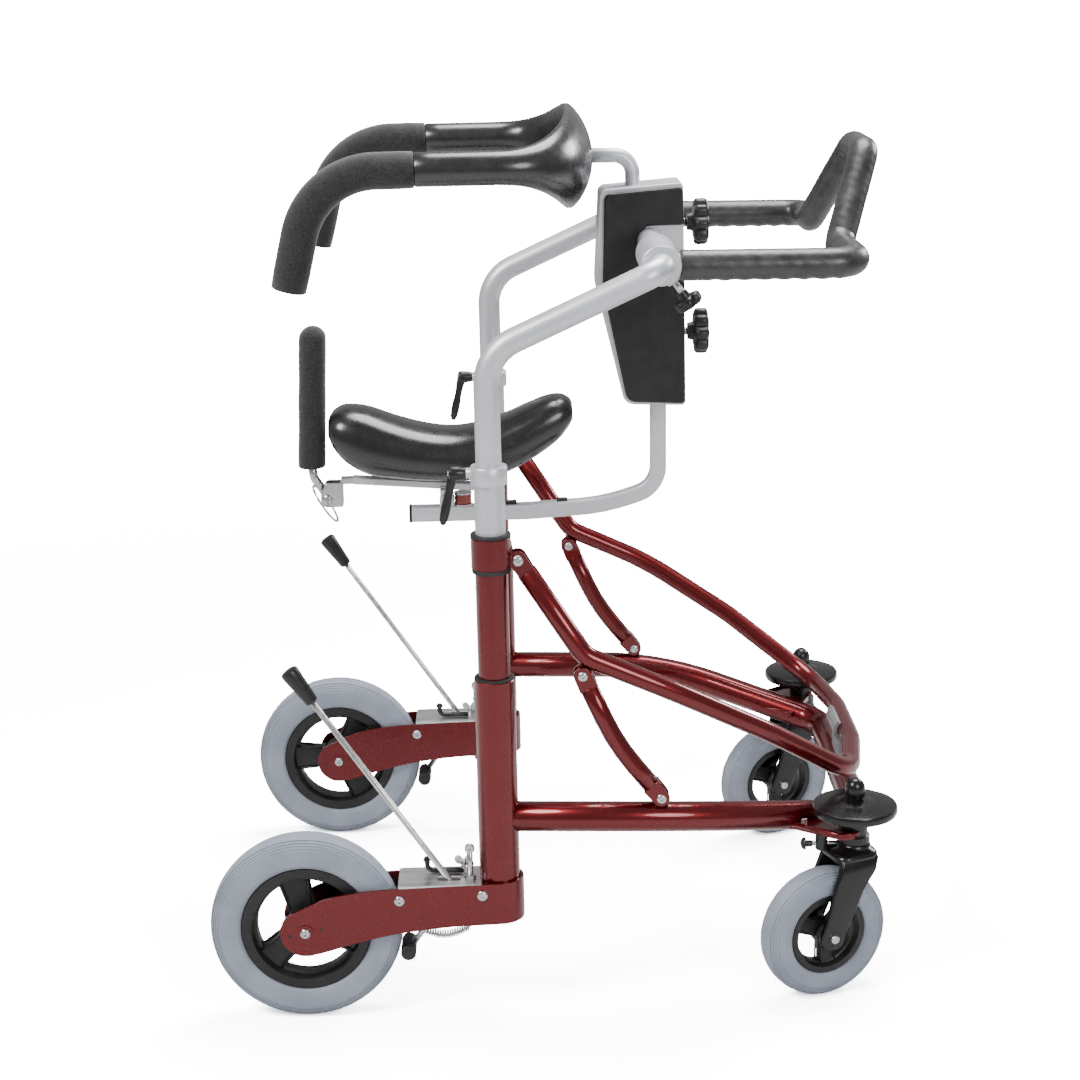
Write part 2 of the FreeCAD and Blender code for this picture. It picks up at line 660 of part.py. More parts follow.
def lift_bow():
    outer_y = dim.track_half
    corners = [bow_hinge, point(366, -304, 481), point(480, -300, 429), point(600, -254, 357),
               point(722, -190, 270), point(741, -70, 271)]
    route = corners + [Vector(c.x, -c.y, c.z) for c in reversed(corners)]
    start = (corners[1] - corners[0]).normalize()
    route[0] = bow_hinge + start * 20
    route[-1] = Vector(route[0].x, -route[0].y, route[0].z)
    radii = [45, 250, 250, 30, 60]
    hoop = tube("hoop", route, radii + radii[::-1], dim.bow_radius, dim.tube_wall)
    turn = Rotation(Vector(*FORWARD), start)
    cheeks = []
    for i, offset in enumerate((5.3, -9.3)):
        disc = cylinder("cheek_eye_%d" % i, 12, 4, tuple(bow_hinge + Vector(0, offset, 0)), ACROSS)
        arm = place(doc.addObject("Part::Box", "cheek_arm_%d" % i),
                    tuple(bow_hinge + Vector(0, offset, 0) + turn.multVec(Vector(0, 0, -10))), turn)
        arm.Length, arm.Width, arm.Height = 26, 4, 20
        cheeks += [disc, arm]
    bridge = place(doc.addObject("Part::Box", "cheek_bridge"),
                   tuple(bow_hinge + turn.multVec(Vector(17, -9.3, -10))), turn)
    bridge.Length, bridge.Width, bridge.Height = 9, 18.6, 20
    ends = pair("bow_ends", fuse("bow_end", bridge, *cheeks))
    tab = fuse("knee_lug", cylinder("knee_eye", 9, 8, tuple(knee - Vector(0, 4, 0)), ACROSS),
               place_box("knee_web", knee, knee + Vector(9, 0, 22), 16, 8))
    tabs = pair("knee_lugs", tab)
    node(fuse("bow", hoop, ends, tabs), "lift_bow")

    hinge = fuse("hinge_bolt", cylinder("hinge_shaft", dim.bolt_radius, 18.6,
                                        tuple(bow_hinge - Vector(0, 9.3, 0)), ACROSS),
                 cylinder("hinge_head", 7.5, 4, tuple(bow_hinge - Vector(0, 13.3, 0)), ACROSS),
                 cylinder("hinge_nut", 7.5, 4, tuple(bow_hinge + Vector(0, 9.3, 0)), ACROSS))
    node(pair("hinge_bolts", hinge), "bow_bolts")


def place_box(name, start, finish, height, width):
    """A flat bar between two points in a plane of constant Y, centred on both."""
    run = finish - start
    turn = Rotation(Vector(*UP), 0) if run.Length == 0 else Rotation(Vector(*ACROSS), -math.degrees(
        math.atan2(run.z, run.x)))
    bar_box = doc.addObject("Part::Box", name)
    bar_box.Length, bar_box.Width, bar_box.Height = run.Length, width, height
    return place(bar_box, tuple(start + turn.multVec(Vector(0, -width / 2, -height / 2))), turn)


def link(side, mirrored):
    """Curved strut with a fork end at each pivot and a bolt head on each cheek."""
    elbow = point(404.5, right, 361)
    cheeks, starts = [], []
    for i, (centre, eye_radius) in enumerate(((knee, 9.2), (foot, 10))):
        way = (elbow - centre).normalize()
        starts.append(centre + way * 20)
        for j, offset in enumerate((-10.3, 5.3)):
            eye = centre + Vector(0, offset, 0)
            cheeks.append(cylinder("eye_%d_%d" % (i, j), eye_radius, 5, tuple(eye), ACROSS))
            cheeks.append(place_box("cheek_%d_%d" % (i, j), eye + Vector(0, 2.5, 0),
                                    eye + Vector(0, 2.5, 0) + way * 22, eye_radius * 2, 5))
        cheeks.append(place_box("bridge_%d" % i, centre + way * 15, centre + way * 24, 22, 20.6))
    strut = bar("strut", [starts[0], elbow, starts[1]], [300], dim.link_radius)
    body = cut("link_body", fuse("link_parts", strut, *cheeks),
               cylinder("link_foot_hole", dim.bolt_radius + dim.running_gap, 40,
                        tuple(foot - Vector(0, 20, 0)), ACROSS))
    heads = [cylinder("link_head_%d" % i, 6.5, 4, tuple(centre - Vector(0, 14.3, 0)), ACROSS)
             for i, centre in enumerate((knee, foot))]
    whole = group("link", body, *heads)
    node(mirror("link_mirror", whole) if mirrored else whole, "link_" + side)


# ---------------------------------------------------------------- height adjustment

def suspension():
    sleeve = ring("inner_sleeve", dim.inner_radius, dim.upper_radius + dim.running_gap,
                  dim.inner_top - 400, (column_x, right, 400))
    node(pair("inner_pair", sleeve), "inner_sleeves")

    clamp = ring("clamp_ring", dim.inner_radius + 4, dim.inner_radius, 22,
                 (column_x, right, dim.inner_top - 22))
    lug = cut("clamp_lug", cylinder("clamp_boss", 7, 28, (column_x - 28, right, dim.inner_top - 9), FORWARD),
              cylinder("clamp_core", dim.inner_radius, 60, (column_x, right, 690)))
    node(pair("clamps", fuse("clamp", clamp, lug)), "sleeve_clamps")


def clamp_lever(side, mirrored):
    z = dim.inner_top - 9
    barrel = lathe("barrel", [(0.0, 0), (9, 0), (9, 14), (7.5, 18), (7.5, 21), (0.0, 21)],
                   (x_of(202.5), right, z), FORWARD)
    start, tip = point(207, right, 717), point(193.5, right, 657)
    grip = cone("lever_grip", 6.5, 3.6, (tip - start).Length, tuple(start), tuple(tip - start))
    whole = fuse("clamp_lever", barrel, grip)
    node(mirror("clamp_lever_mirror", whole) if mirrored else whole, "clamp_lever_" + side)


# ---------------------------------------------------------------- upper frame and console

CONSOLE = [(404, 1032, 10), (514, 1040, 6), (516, 742, 6), (434, 745, 16), (397, 905, 60)]
COVER = [(410, 1027, 9), (512, 1035, 5), (514, 985, 3), (462, 985, 6), (462, 946, 6),
         (514.5, 946, 3), (514.5, 746, 5), (437, 750, 14), (406, 905, 60)]


def console_outline(corners):
    return rounded_outline([(x_of(x).number, z, radius) for x, z, radius in corners])


def upper_frame():
    start = point(250, right, 530)
    route = [Vector(float(column_x), start.y, 530), Vector(float(column_x), start.y, 869),
             Vector(float(handle_x), -302, float(dim.handle_z)),
             Vector(float(handle_x), -float(dim.console_half), float(dim.handle_z))]
    node(pair("uppers", tube("upper_tube", route, [60, 26], dim.upper_radius, dim.tube_wall)),
         "upper_tubes")

    core = pad("core", console_outline(CONSOLE), dim.console_half * 2, "XZ_Plane", True)
    channels = [cylinder("post_channel", dim.post_radius + dim.running_gap, 200, (x_of(449), 0, 890)),
                box("beam_channel", dim.beam_height + 0.1, dim.beam_width + 0.1, 220,
                    (x_of(480) - dim.beam_height * 0.5 - 0.05, -dim.beam_width * 0.5 - 0.05, 730)),
                cylinder("upper_screw_hole", 5 + dim.running_gap, 60, (x_of(459), 0, 984), FORWARD),
                cylinder("lower_screw_hole", 5 + dim.running_gap, 40, (x_of(493), 0, 837), FORWARD)]
    node(cut("console_core", core, *channels), "console_core")

    cover = place(pad("cover", console_outline(COVER), dim.cover_thickness, "XZ_Plane"),
                  (0, -dim.console_half, 0))
    node(pair("covers", cover), "console_covers")


def star_outline(radius, lobes):
    """Rounded lobes with shallow hollows between them."""
    edges = []
    step = 360.0 / lobes
    root = radius * 0.86
    for i in range(lobes):
        centre = step * i
        points = []
        for r, a in ((root, centre - step * 0.30), (radius, centre), (root, centre + step * 0.30),
                     (root * 0.95, centre + step * 0.5), (root, centre + step * 0.70)):
            points.append(Vector(r * math.cos(math.radians(a)), r * math.sin(math.radians(a)), 0))
        edges.append(Part.Arc(points[0], points[1], points[2]))
        edges.append(Part.Arc(points[2], points[3], points[4]))
    return edges


def star_knob(name, radius, lobes, thickness, stud, length, base, axis):
    """Knob head above the local origin and a stud below it."""
    head = pad(name + "_head", star_outline(float(radius), lobes), thickness, "XY_Plane")
    screw = cylinder(name + "_stud", stud, length, (0, 0, -length))
    neck = cylinder(name + "_neck", stud * 2.0, 8, (0, 0, -8))
    return place(fuse(name, head, screw, neck), base, towards(axis))


def console_knobs():
    node(star_knob("upper_star", dim.star_knob_radius, 8, 20, 5, 69.5, (x_of(529), 0, 984), FORWARD),
         "trunk_post_knob")
    node(star_knob("lower_star", dim.star_knob_radius, 8, 20, 5, 35.5, (x_of(529), 0, 837), FORWARD),
         "seat_post_knob")


# ---------------------------------------------------------------- handlebar

def handlebar():
    y = -250
    z = 963
    half = [point(494, y, z), point(713, y, 961), point(704, -135, 967), point(748, -48, 1076)]
    route = half + [Vector(p.x, -p.y, p.z) for p in reversed(half)]
    bar_core = tube("grip_tube", route, [32, 32, 26, 26, 32, 32], dim.grip_radius, 8)
    sleeve = ring("clamp_sleeve", dim.clamp_sleeve_radius, dim.upper_radius + dim.running_gap,
                  dim.clamp_sleeve_length, (handle_x, -274, dim.handle_z), ACROSS)
    socket = cut("clamp_socket", cylinder("socket", 12, 42, (handle_x, y, dim.handle_z - 2), FORWARD),
                 cylinder("socket_space", dim.clamp_sleeve_radius - 1, 60, (handle_x, y - 30, dim.handle_z),
                          ACROSS))
    nut = cut("clamp_nut", rod("nut_bar", 8, Vector(float(handle_x), -205, float(dim.handle_z)),
                               point(487, -205, 938)),
              cylinder("nut_space", dim.clamp_sleeve_radius - 1, 60, (handle_x, -235, dim.handle_z), ACROSS))
    bored = cut("clamp_whole", fuse("clamp_parts", sleeve, socket, nut),
                rod("clamp_screw_hole", 4 + float(dim.running_gap), point(470, -205, 963), point(493, -205, 929)))
    node(bar_core, "handlebar")
    node(pair("clamp_pair", bored), "handlebar_clamps")


def handlebar_knob(side, mirrored):
    seat = point(502, -205, 916)
    way = Vector(0.56, 0, -0.828)
    knob = star_knob("tilt_knob", dim.small_knob_radius, 7, 14, 4, 26, tuple(seat), tuple(way))
    node(mirror("tilt_knob_mirror", knob) if mirrored else knob, "handlebar_knob_" + side)


# ---------------------------------------------------------------- trunk support

def trunk_post():
    route = [point(449, 0, 900), point(449, 0, 1073), point(392, 0, 1074)]
    node(tube("trunk_rod", route, [24], dim.post_radius, dim.tube_wall), "trunk_post")


def ellipse_wire(centre, heading, half_thick, half_tall, lean=0.0):
    """Upright ellipse across a heading in plan, given in degrees from +X."""
    side = Vector(-math.sin(math.radians(heading)), math.cos(math.radians(heading)), 0)
    tall = Vector(0, 0, 1)
    curve = Part.Ellipse(Vector(0, 0, 0), max(half_tall, half_thick), min(half_tall, half_thick))
    major, minor = (tall, side) if half_tall >= half_thick else (side, tall)
    matrix = FreeCAD.Matrix(major.x, minor.x, 0, centre.x, major.y, minor.y, 0, centre.y,
                            major.z, minor.z, 0, centre.z, 0, 0, 0, 1)
    normal = major.cross(minor)
    matrix.A13, matrix.A23, matrix.A33 = normal.x, normal.y, normal.z
    return Part.Wire([curve.toShape().transformGeometry(matrix)])


def trunk_pad():
    """U-shaped moulded pad: round arms that flare into a tall front."""
    half = float(dim.arm_half)
    bend_start, reach = 268.0, 111.0
    stations = [(forward, half, 0.0, 0.0) for forward in (169.0, 200.0, 235.0)]
    for angle in range(0, 91, 10):
        a = math.radians(angle)
        across, along = math.cos(a) ** 0.8, math.sin(a) ** 0.8
        heading = math.degrees(math.atan2(half * math.sin(a) * across ** -0.25 if across > 1e-6 else 1.0,
                                          reach * math.cos(a) * max(along, 1e-6) ** -0.25)) if angle else 0.0
        stations.append((bend_start + reach * along, half * across, min(heading, 90.0), angle / 90.0))
    wires = []
    for turn in (-1, 1):
        ordered = stations if turn < 0 else list(reversed(stations[:-1]))
        for forward, y, heading, share in ordered:
            flare = share * share * (3 - 2 * share)
            thick, tall = 21 - 4 * flare, 21.2 + 44.8 * flare
            centre = point(forward, turn * y, dim.arm_z - 7 * flare)
            wires.append(ellipse_wire(centre, heading if turn < 0 else 180 - heading, thick, tall))
    solid = Part.makeLoft(wires, True, False)
    pocket = Part.makeCylinder(float(dim.post_radius), 40, point(386, 0, 1074), Vector(-1, 0, 0))
    piece = doc.addObject("Part::Feature", "trunk_pad")
    piece.Shape = solid.cut(pocket)
    node(piece, "trunk_pad")


def trunk_arm(side, mirrored):
    y = -dim.arm_half
    route = [point(168.2, y, dim.arm_z), point(44, y, 1081), point(9, y, 938)]
    foam = bar("arm_foam", route, [100], dim.arm_foam_radius)
    way = (route[2] - route[1]).normalize()
    plug = cylinder("arm_plug", 15, 3, tuple(route[2]), tuple(way))
    whole = group("trunk_arm", foam, plug)
    node(mirror("trunk_arm_mirror", whole) if mirrored else whole, "trunk_arm_" + side)


# ---------------------------------------------------------------- seat

def seat_post():
    route = [point(480, 0, 930), point(480, 0, 622), point(405, 0, 598), point(300, 0, 592), point(141, 0, 592)]
    path = doc.addObject("Part::Feature", "beam_path")
    path.Shape = rounded_wire(route, [40, 250, 300])
    half_x, half_y = float(dim.beam_height) / 2, float(dim.beam_width) / 2
    section = doc.addObject("Part::Feature", "beam_section")
    corners = [(-half_x, -half_y, 4), (half_x, -half_y, 4), (half_x, half_y, 4), (-half_x, half_y, 4)]
    section.Shape = Part.Wire(Part.__sortEdges__([e.toShape() for e in rounded_outline(corners)]))
    section.Placement = Placement(route[0], Rotation())
    beam = doc.addObject("Part::Sweep", "beam")
    beam.Sections = [section]
    beam.Spine = (path, ["Edge%d" % (i + 1) for i in range(len(path.Shape.Edges))])
    beam.Solid = True
    node(beam, "seat_post")

    top = 603
    post = box("mount_post", 20, 20, 12, (x_of(180), -10, top))
    barrel = cylinder("mount_barrel", 7, 20, (x_of(190), -10, 617), ACROSS)
    node(cut("mount", fuse("mount_parts", post, barrel),
             cylinder("mount_bore", dim.bolt_radius + dim.running_gap, 30, (x_of(190), -15, 617), ACROSS)),
         "saddle_mount")

    bumper = group("bumper_set", cylinder("rubber", 11.5, 14, (x_of(212), 0, top + 2)),
                   cylinder("washer_low", 12.5, 2, (x_of(212), 0, top)),
                   cylinder("washer_high", 12.5, 2, (x_of(212), 0, top + 16)))
    node(bumper, "saddle_bumper")


def saddle_rail():
    deck = place_box("rail_bar", point(62, 0, 642), point(228, 0, 629), 10, 18)
    cheeks = [box("rail_cheek_%d" % i, 18, 4, 24, (x_of(181), y, 610))
              for i, y in enumerate((-14.5, 10.5))]
    bridge = box("rail_bridge", 18, 29, 5, (x_of(181), -14.5, 627))
    pin = cylinder("rail_pin", dim.bolt_radius, 33, (x_of(190), -16.5, 617), ACROSS)
    bracket = [box("bracket_cheek_%d" % i, 27, 3, 34, (x_of(18), y, 606)) for i, y in enumerate((-11, 8))]
    back = box("bracket_back", 4, 22, 34, (x_of(44), -11, 606))
    neck = box("bracket_neck", 20, 14, 9, (x_of(46), -7, 637))
    hinge = fuse("bracket_bolt", cylinder("bracket_shaft", dim.bolt_radius, 22, (x_of(27), -11, 617), ACROSS),
                 cylinder("bracket_head", 7, 4, (x_of(27), -15, 617), ACROSS))
    node(fuse("rail", deck, bridge, pin, back, neck, hinge, *(cheeks + bracket)), "saddle_rail")


def saddle():
    """Banana-shaped cushion with a flat underside along the rail."""
    stations = [(34, 732, 702, 38), (50, 746, 672, 50), (85, 744, 651, 57), (130, 727, 647, 59),
                (190, 713, 641, 58), (250, 722, 645, 55), (300, 741, 664, 51), (340, 755, 692, 44),
                (363, 747, 718, 32)]
    wires = []
    for forward, top, low, half_width in stations:
        middle = (top + low) / 2
        wires.append(ellipse_wire(point(forward, 0, middle), 0, half_width, (top - low) / 2))
    piece = doc.addObject("Part::Feature", "saddle")
    piece.Shape = Part.makeLoft(wires, True, False)
    node(piece, "saddle")


def backrest():
    hinge = point(27, 0, 617)
    base, top = point(7, 0, 661), point(16, 0, 838)
    way = (top - base).normalize()
    eye = ring("rest_eye", 8, dim.bolt_radius + dim.running_gap, 14, tuple(hinge - Vector(0, 7, 0)), ACROSS)
    neck_low = place_box("rest_neck", hinge + Vector(-6, 0, 5), base + way * 2, 8, 12)
    core = rod("rest_core", 6, base, top)
    node(fuse("rest_post", eye, neck_low, core), "backrest_post")
    foam = fuse("rest_foam_parts", rod("rest_sleeve", dim.rest_foam_radius, base, top),
                place(dome("rest_dome", dim.rest_foam_radius.number, (0, 0, 0)), tuple(top), towards(tuple(way))))
    node(cut("rest_foam", foam, rod("rest_bore", 6, base - way * 5, top)), "backrest_foam")

    upper, lower = point(7, 0, 634), point(39, 0, 584)
    loop = doc.addObject("Part::Torus", "latch_loop")
    loop.Radius1, loop.Radius2 = (upper - lower).Length / 2, 1.5
    normal = (upper - lower).normalize().cross(Vector(*ACROSS))
    place(loop, tuple((upper + lower) * 0.5), towards(tuple(normal)))
    sleeve = cylinder("latch_sleeve", 2.2, 10, tuple(upper - Vector(0, 5, 0)), ACROSS)
    node(fuse("latch", loop, sleeve), "latch_ring")


# ---------------------------------------------------------------- assembly

lower_frame()
rear_forks()
for side, sign in (("right", -1), ("left", 1)):
    mirrored = sign > 0
    brake(side, mirrored)
    rear_wheel(side, dim.track_half * sign)
    caster(side, dim.caster_half * sign)
    link(side, mirrored)
    clamp_lever(side, mirrored)
    handlebar_knob(side, mirrored)
    trunk_arm(side, mirrored)
carriage()
lift_bow()
suspension()
upper_frame()
console_knobs()
handlebar()
trunk_post()
trunk_pad()
seat_post()
saddle_rail()
saddle()
backrest()

doc.recompute()

for piece in doc.Objects:
    if "Invalid" in piece.State or "Error" in piece.State:
        raise RuntimeError("%s failed: %s" % (piece.Label, piece.State))

for piece in NODES:
    if piece.Shape.isNull() or not piece.Shape.isValid():
        raise RuntimeError("%s has no valid shape" % piece.Label)

os.makedirs("parts", exist_ok=True)
for piece in NODES:
    piece.Shape.exportStep(os.path.join("parts", piece.Label + ".step"))
    box_now = piece.Shape.BoundBox
    print("%-22s %2d solids  %8.0f mm3  x %5.0f %5.0f  y %5.0f %5.0f  z %5.0f %5.0f" % (
        piece.Label, len(piece.Shape.Solids), piece.Shape.Volume, box_now.XMin, box_now.XMax,
        box_now.YMin, box_now.YMax, box_now.ZMin, box_now.ZMax))
print(len(NODES), "sub-parts")
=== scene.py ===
import math

import bmesh
import bpy
from mathutils import Matrix, Vector


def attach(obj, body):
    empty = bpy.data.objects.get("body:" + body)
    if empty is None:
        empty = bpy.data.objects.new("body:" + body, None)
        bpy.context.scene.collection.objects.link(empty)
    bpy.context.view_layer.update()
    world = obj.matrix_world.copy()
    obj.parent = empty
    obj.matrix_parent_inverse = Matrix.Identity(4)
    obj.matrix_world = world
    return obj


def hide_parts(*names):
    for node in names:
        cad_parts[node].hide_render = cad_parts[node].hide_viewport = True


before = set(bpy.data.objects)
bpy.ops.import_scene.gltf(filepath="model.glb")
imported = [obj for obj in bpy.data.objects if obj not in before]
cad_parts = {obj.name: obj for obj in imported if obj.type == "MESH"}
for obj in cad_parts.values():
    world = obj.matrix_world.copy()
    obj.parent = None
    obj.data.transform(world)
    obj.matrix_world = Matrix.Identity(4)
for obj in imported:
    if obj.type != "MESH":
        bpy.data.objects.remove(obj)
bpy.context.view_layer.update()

# Front wheeled walker.  Lengths are in millimetres; a place is (distance forward of the rear
# axle, y, z), and at() turns it into the row frame.  The right side is at negative y.

AXLE_X = -323.0
TRACK = 303.0
COLUMN = 252.0
CASTER = (716.0, 268.0)
CASTER_YAW = math.radians(22)
CASTER_TRAIL = 46
REAR_TYRE, REAR_RIM, REAR_WIDTH = 125.0, 84.5, 46
FRONT_TYRE, FRONT_RIM, FRONT_WIDTH = 87.5, 54.2, 40
LOWER_TUBE, BOW_TUBE, LINK_TUBE, UPPER_TUBE = 19.5, 13, 12, 16
BAND_MIDDLE = 29.0        # middle of the fork band, from the wheel's plane
CROSS_TUBE = (735, 205)   # middle of the frame's front bar, and of the bow's above it
BOW_FRONT = (741, 271)
TUBE_BORE, SLEEVE_BORE, COLUMN_BORE, COLUMN_WALL = 16.1, 19.1, 22.6, 25      # radii
AXLE_BOLT, PIVOT_BOLT = 6, 4
BOW_HINGE = (285, -TRACK, 610)
KNEE = (363, -TRACK, 457)
FOOT = (461, -TRACK, 289.5)
UP, ACROSS, FORWARD = Vector((0, 0, 1)), Vector((0, 1, 0)), Vector((1, 0, 0))
SIDES = (("right", 1), ("left", -1))      # +1 keeps y as given for the right side


def at(forward, y, z):
    return Vector((forward + AXLE_X, y, z))


def once(s, node):
    """A CAD node that holds both sides is named on the right side only."""
    return (node,) if s > 0 else ()


# ---------------------------------------------------------------- materials

class Nodes:
    """Small builder for one node material."""

    def __init__(self, name, **values):
        self.material = bpy.data.materials.new(name)
        self.material.use_nodes = True
        self.tree = self.material.node_tree
        self.shader = self.tree.nodes["Principled BSDF"]
        for socket, value in values.items():
            self.shader.inputs[socket.replace("_", " ")].default_value = value
        self.height = None

    def add(self, kind, **values):
        made = self.tree.nodes.new("ShaderNode" + kind)
        for name, value in values.items():
            if hasattr(made, name):
                setattr(made, name, value)
            else:
                made.inputs[name.replace("_", " ")].default_value = value
        return made

    def link(self, source, target):
        self.tree.links.new(source, target)

    def coordinates(self, stretch=(1, 1, 1)):
        mapping = self.add("Mapping")
        mapping.inputs["Scale"].default_value = stretch
        self.link(self.add("TexCoord").outputs["Object"], mapping.inputs["Vector"])
        return mapping.outputs["Vector"]

    def noise(self, scale, detail=3.0, stretch=(1, 1, 1), roughness=0.55):
        texture = self.add("TexNoise", Scale=scale, Detail=detail, Roughness=roughness)
        self.link(self.coordinates(stretch), texture.inputs["Vector"])
        return texture.outputs["Fac"]

    def cells(self, scale, feature="F1"):
        texture = self.add("TexVoronoi", feature=feature, Scale=scale)
        self.link(self.coordinates(), texture.inputs["Vector"])
        return texture.outputs["Distance"]

    def between(self, fac, low, high, start=0.35, end=0.65):
        """A colour ramp between two colours, or two grey levels."""
        ramp = self.add("ValToRGB")
        for stop, position, colour in zip(ramp.color_ramp.elements, (start, end), (low, high)):
            stop.position = position
            stop.color = colour if isinstance(colour, tuple) else (colour,) * 3 + (1,)
        self.link(fac, ramp.inputs["Fac"])
        return ramp.outputs["Color"]

    def colour(self, source):
        self.link(source, self.shader.inputs["Base Color"])

    def rough(self, source):
        self.link(source, self.shader.inputs["Roughness"])

    def bump(self, source, distance, strength=1.0):
        """Adds one more layer of relief, in millimetres."""
        made = self.add("Bump", Distance=distance / 1000, Strength=strength)
        self.link(source, made.inputs["Height"])
        if self.height:
            self.link(self.height, made.inputs["Normal"])
        self.height = made.outputs["Normal"]
        self.link(self.height, self.shader.inputs["Normal"])


def rgb(r, g, b):
    return (r, g, b, 1.0)


def surface(name, colour, rough, relief=(), **values):
    """A material from a mottled colour, a mottled roughness and layers of relief.

    colour and rough are (noise settings, low, high); a relief row is (method of Nodes, its
    settings, distance in millimetres, strength).
    """
    m = Nodes(name, **values)
    pattern, low, high = colour
    m.colour(m.between(m.noise(*pattern), low, high))
    pattern, low, high = rough
    m.rough(m.between(m.noise(*pattern), low, high))
    for kind, settings, distance, strength in relief:
        m.bump(kind(m, *settings), distance, strength)
    return m.material


def brushed(name, low, high):
    m = Nodes(name, Metallic=1.0)
    grain = m.noise(60, 6, (0.12, 1, 6))
    m.colour(m.between(grain, low, high))
    m.rough(m.between(grain, 0.26, 0.42))
    m.bump(grain, 0.03, 0.3)
    return m.material


def black_plastic(name, low, high, grain=0.05, base=0.012):
    return surface(name, ((20,), rgb(base * 0.8, base * 0.8, base * 0.85),
            rgb(base * 1.3, base * 1.3, base * 1.35)), ((45, 4), low, high),
            [(Nodes.cells, (1400,), grain, 0.5)], Specular_IOR_Level=0.45)


RED = surface("red_paint", ((900, 2), rgb(0.105, 0.0006, 0.002), rgb(0.145, 0.0015, 0.004)),
        ((30,), 0.25, 0.32), [(Nodes.noise, (260, 2), 0.03, 0.35)], Metallic=0.75, Roughness=0.36,
        Coat_Weight=0.6, Coat_Roughness=0.06)
SILVER = surface("silver_paint", ((700, 2), rgb(0.56, 0.575, 0.61), rgb(0.64, 0.655, 0.69)),
        ((25,), 0.38, 0.46), [(Nodes.noise, (320, 2), 0.03, 0.3)], Metallic=0.55, Roughness=0.42,
        Coat_Weight=0.25, Coat_Roughness=0.3)
ZINC = surface("zinc", ((60, 2), rgb(0.55, 0.55, 0.56), rgb(0.62, 0.62, 0.62)), ((90, 2), 0.24, 0.31),
        [(Nodes.noise, (500, 2), 0.01, 0.2)], Metallic=1.0)
FOAM = surface("foam", ((420, 3), rgb(0.007, 0.007, 0.008), rgb(0.022, 0.022, 0.024)), ((90,), 0.72, 0.9),
        [(Nodes.cells, (1300,), 0.18, 0.6), (Nodes.noise, (35,), 0.35, 0.25)], Specular_IOR_Level=0.25,
        Sheen_Weight=0.35, Sheen_Roughness=0.5)
PAD = surface("moulded_pad", ((18,), rgb(0.007, 0.007, 0.008), rgb(0.012, 0.012, 0.013)),
        ((70, 4), 0.24, 0.34), [(Nodes.cells, (1100, "SMOOTH_F1"), 0.10, 0.35)], Specular_IOR_Level=0.6,
        Coat_Weight=0.3, Coat_Roughness=0.2)
VINYL = surface("vinyl", ((14,), rgb(0.004, 0.004, 0.005), rgb(0.008, 0.008, 0.009)), ((60, 4), 0.20, 0.30),
        [(Nodes.cells, (650,), 0.12, 0.3)], Specular_IOR_Level=0.6, Coat_Weight=0.25, Coat_Roughness=0.18)
LEATHER = surface("bar_leather", ((40,), rgb(0.012, 0.012, 0.013), rgb(0.028, 0.028, 0.030)),
        ((80, 5), 0.32, 0.46), [(Nodes.cells, (520, "SMOOTH_F1"), 0.25, 0.5),
        (Nodes.noise, (30, 3), 0.4, 0.35)], Specular_IOR_Level=0.55, Coat_Weight=0.2, Coat_Roughness=0.25)
TYRE = surface("grey_tyre", ((22, 5), rgb(0.24, 0.265, 0.325), rgb(0.285, 0.315, 0.38)), ((60,), 0.55, 0.7),
        [(Nodes.noise, (240, 3), 0.12, 0.4)], Specular_IOR_Level=0.3)
URETHANE = surface("urethane", ((60,), rgb(0.16, 0.025, 0.022), rgb(0.22, 0.04, 0.032)), ((50,), 0.3, 0.45),
        [(Nodes.noise, (150,), 0.1, 0.3)], Specular_IOR_Level=0.5, Subsurface_Weight=0.15)
STEEL = brushed("brushed_plate", rgb(0.66, 0.66, 0.67), rgb(0.82, 0.82, 0.82))
GLOSS = black_plastic("gloss_black", 0.20, 0.28, 0.01, 0.004)
BLACK = black_plastic("satin_black", 0.28, 0.40, 0.06, 0.008)
RUBBER = black_plastic("black_rubber", 0.55, 0.75, 0.10, 0.014)
RIM = black_plastic("rim_black", 0.40, 0.55, 0.08, 0.008)
FORK = black_plastic("fork_black", 0.20, 0.28, 0.02, 0.003)
CLIP_GREY = black_plastic("clip_grey", 0.28, 0.40, 0.03, 0.16)


# ---------------------------------------------------------------- mesh helpers

def mirrored(points, sign):
    return [Vector((p.x, p.y * sign, p.z)) for p in points]


def piece(name, verts, faces, material, body, bevel=0.0, crease=40, stands_for=(), sub=0):
    """A mesh from millimetre vertices, riding on a body."""
    mesh = bpy.data.meshes.new(name)
    mesh.from_pydata([tuple(v / 1000) for v in verts], [], faces)
    tidy = bmesh.new()
    tidy.from_mesh(mesh)
    bmesh.ops.remove_doubles(tidy, verts=tidy.verts, dist=1e-6)
    bmesh.ops.recalc_face_normals(tidy, faces=tidy.faces)
    tidy.to_mesh(mesh)
    tidy.free()
    mesh.materials.append(material)
    mesh.shade_smooth()
    if not bevel:
        mesh.set_sharp_from_angle(angle=math.radians(crease))
    made = bpy.data.objects.new(name, mesh)
    bpy.context.scene.collection.objects.link(made)
    if bevel:
        edge = made.modifiers.new("Bevel", "BEVEL")
        edge.width = bevel / 1000
        edge.segments = 3
        edge.limit_method = "ANGLE"
        edge.angle_limit = math.radians(crease)
        edge.harden_normals = True
    if sub:
        made.modifiers.new("Subdivision", "SUBSURF").levels = sub
        made.modifiers["Subdivision"].render_levels = sub
    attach(made, body)
    if stands_for:
        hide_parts(*stands_for)
    return made


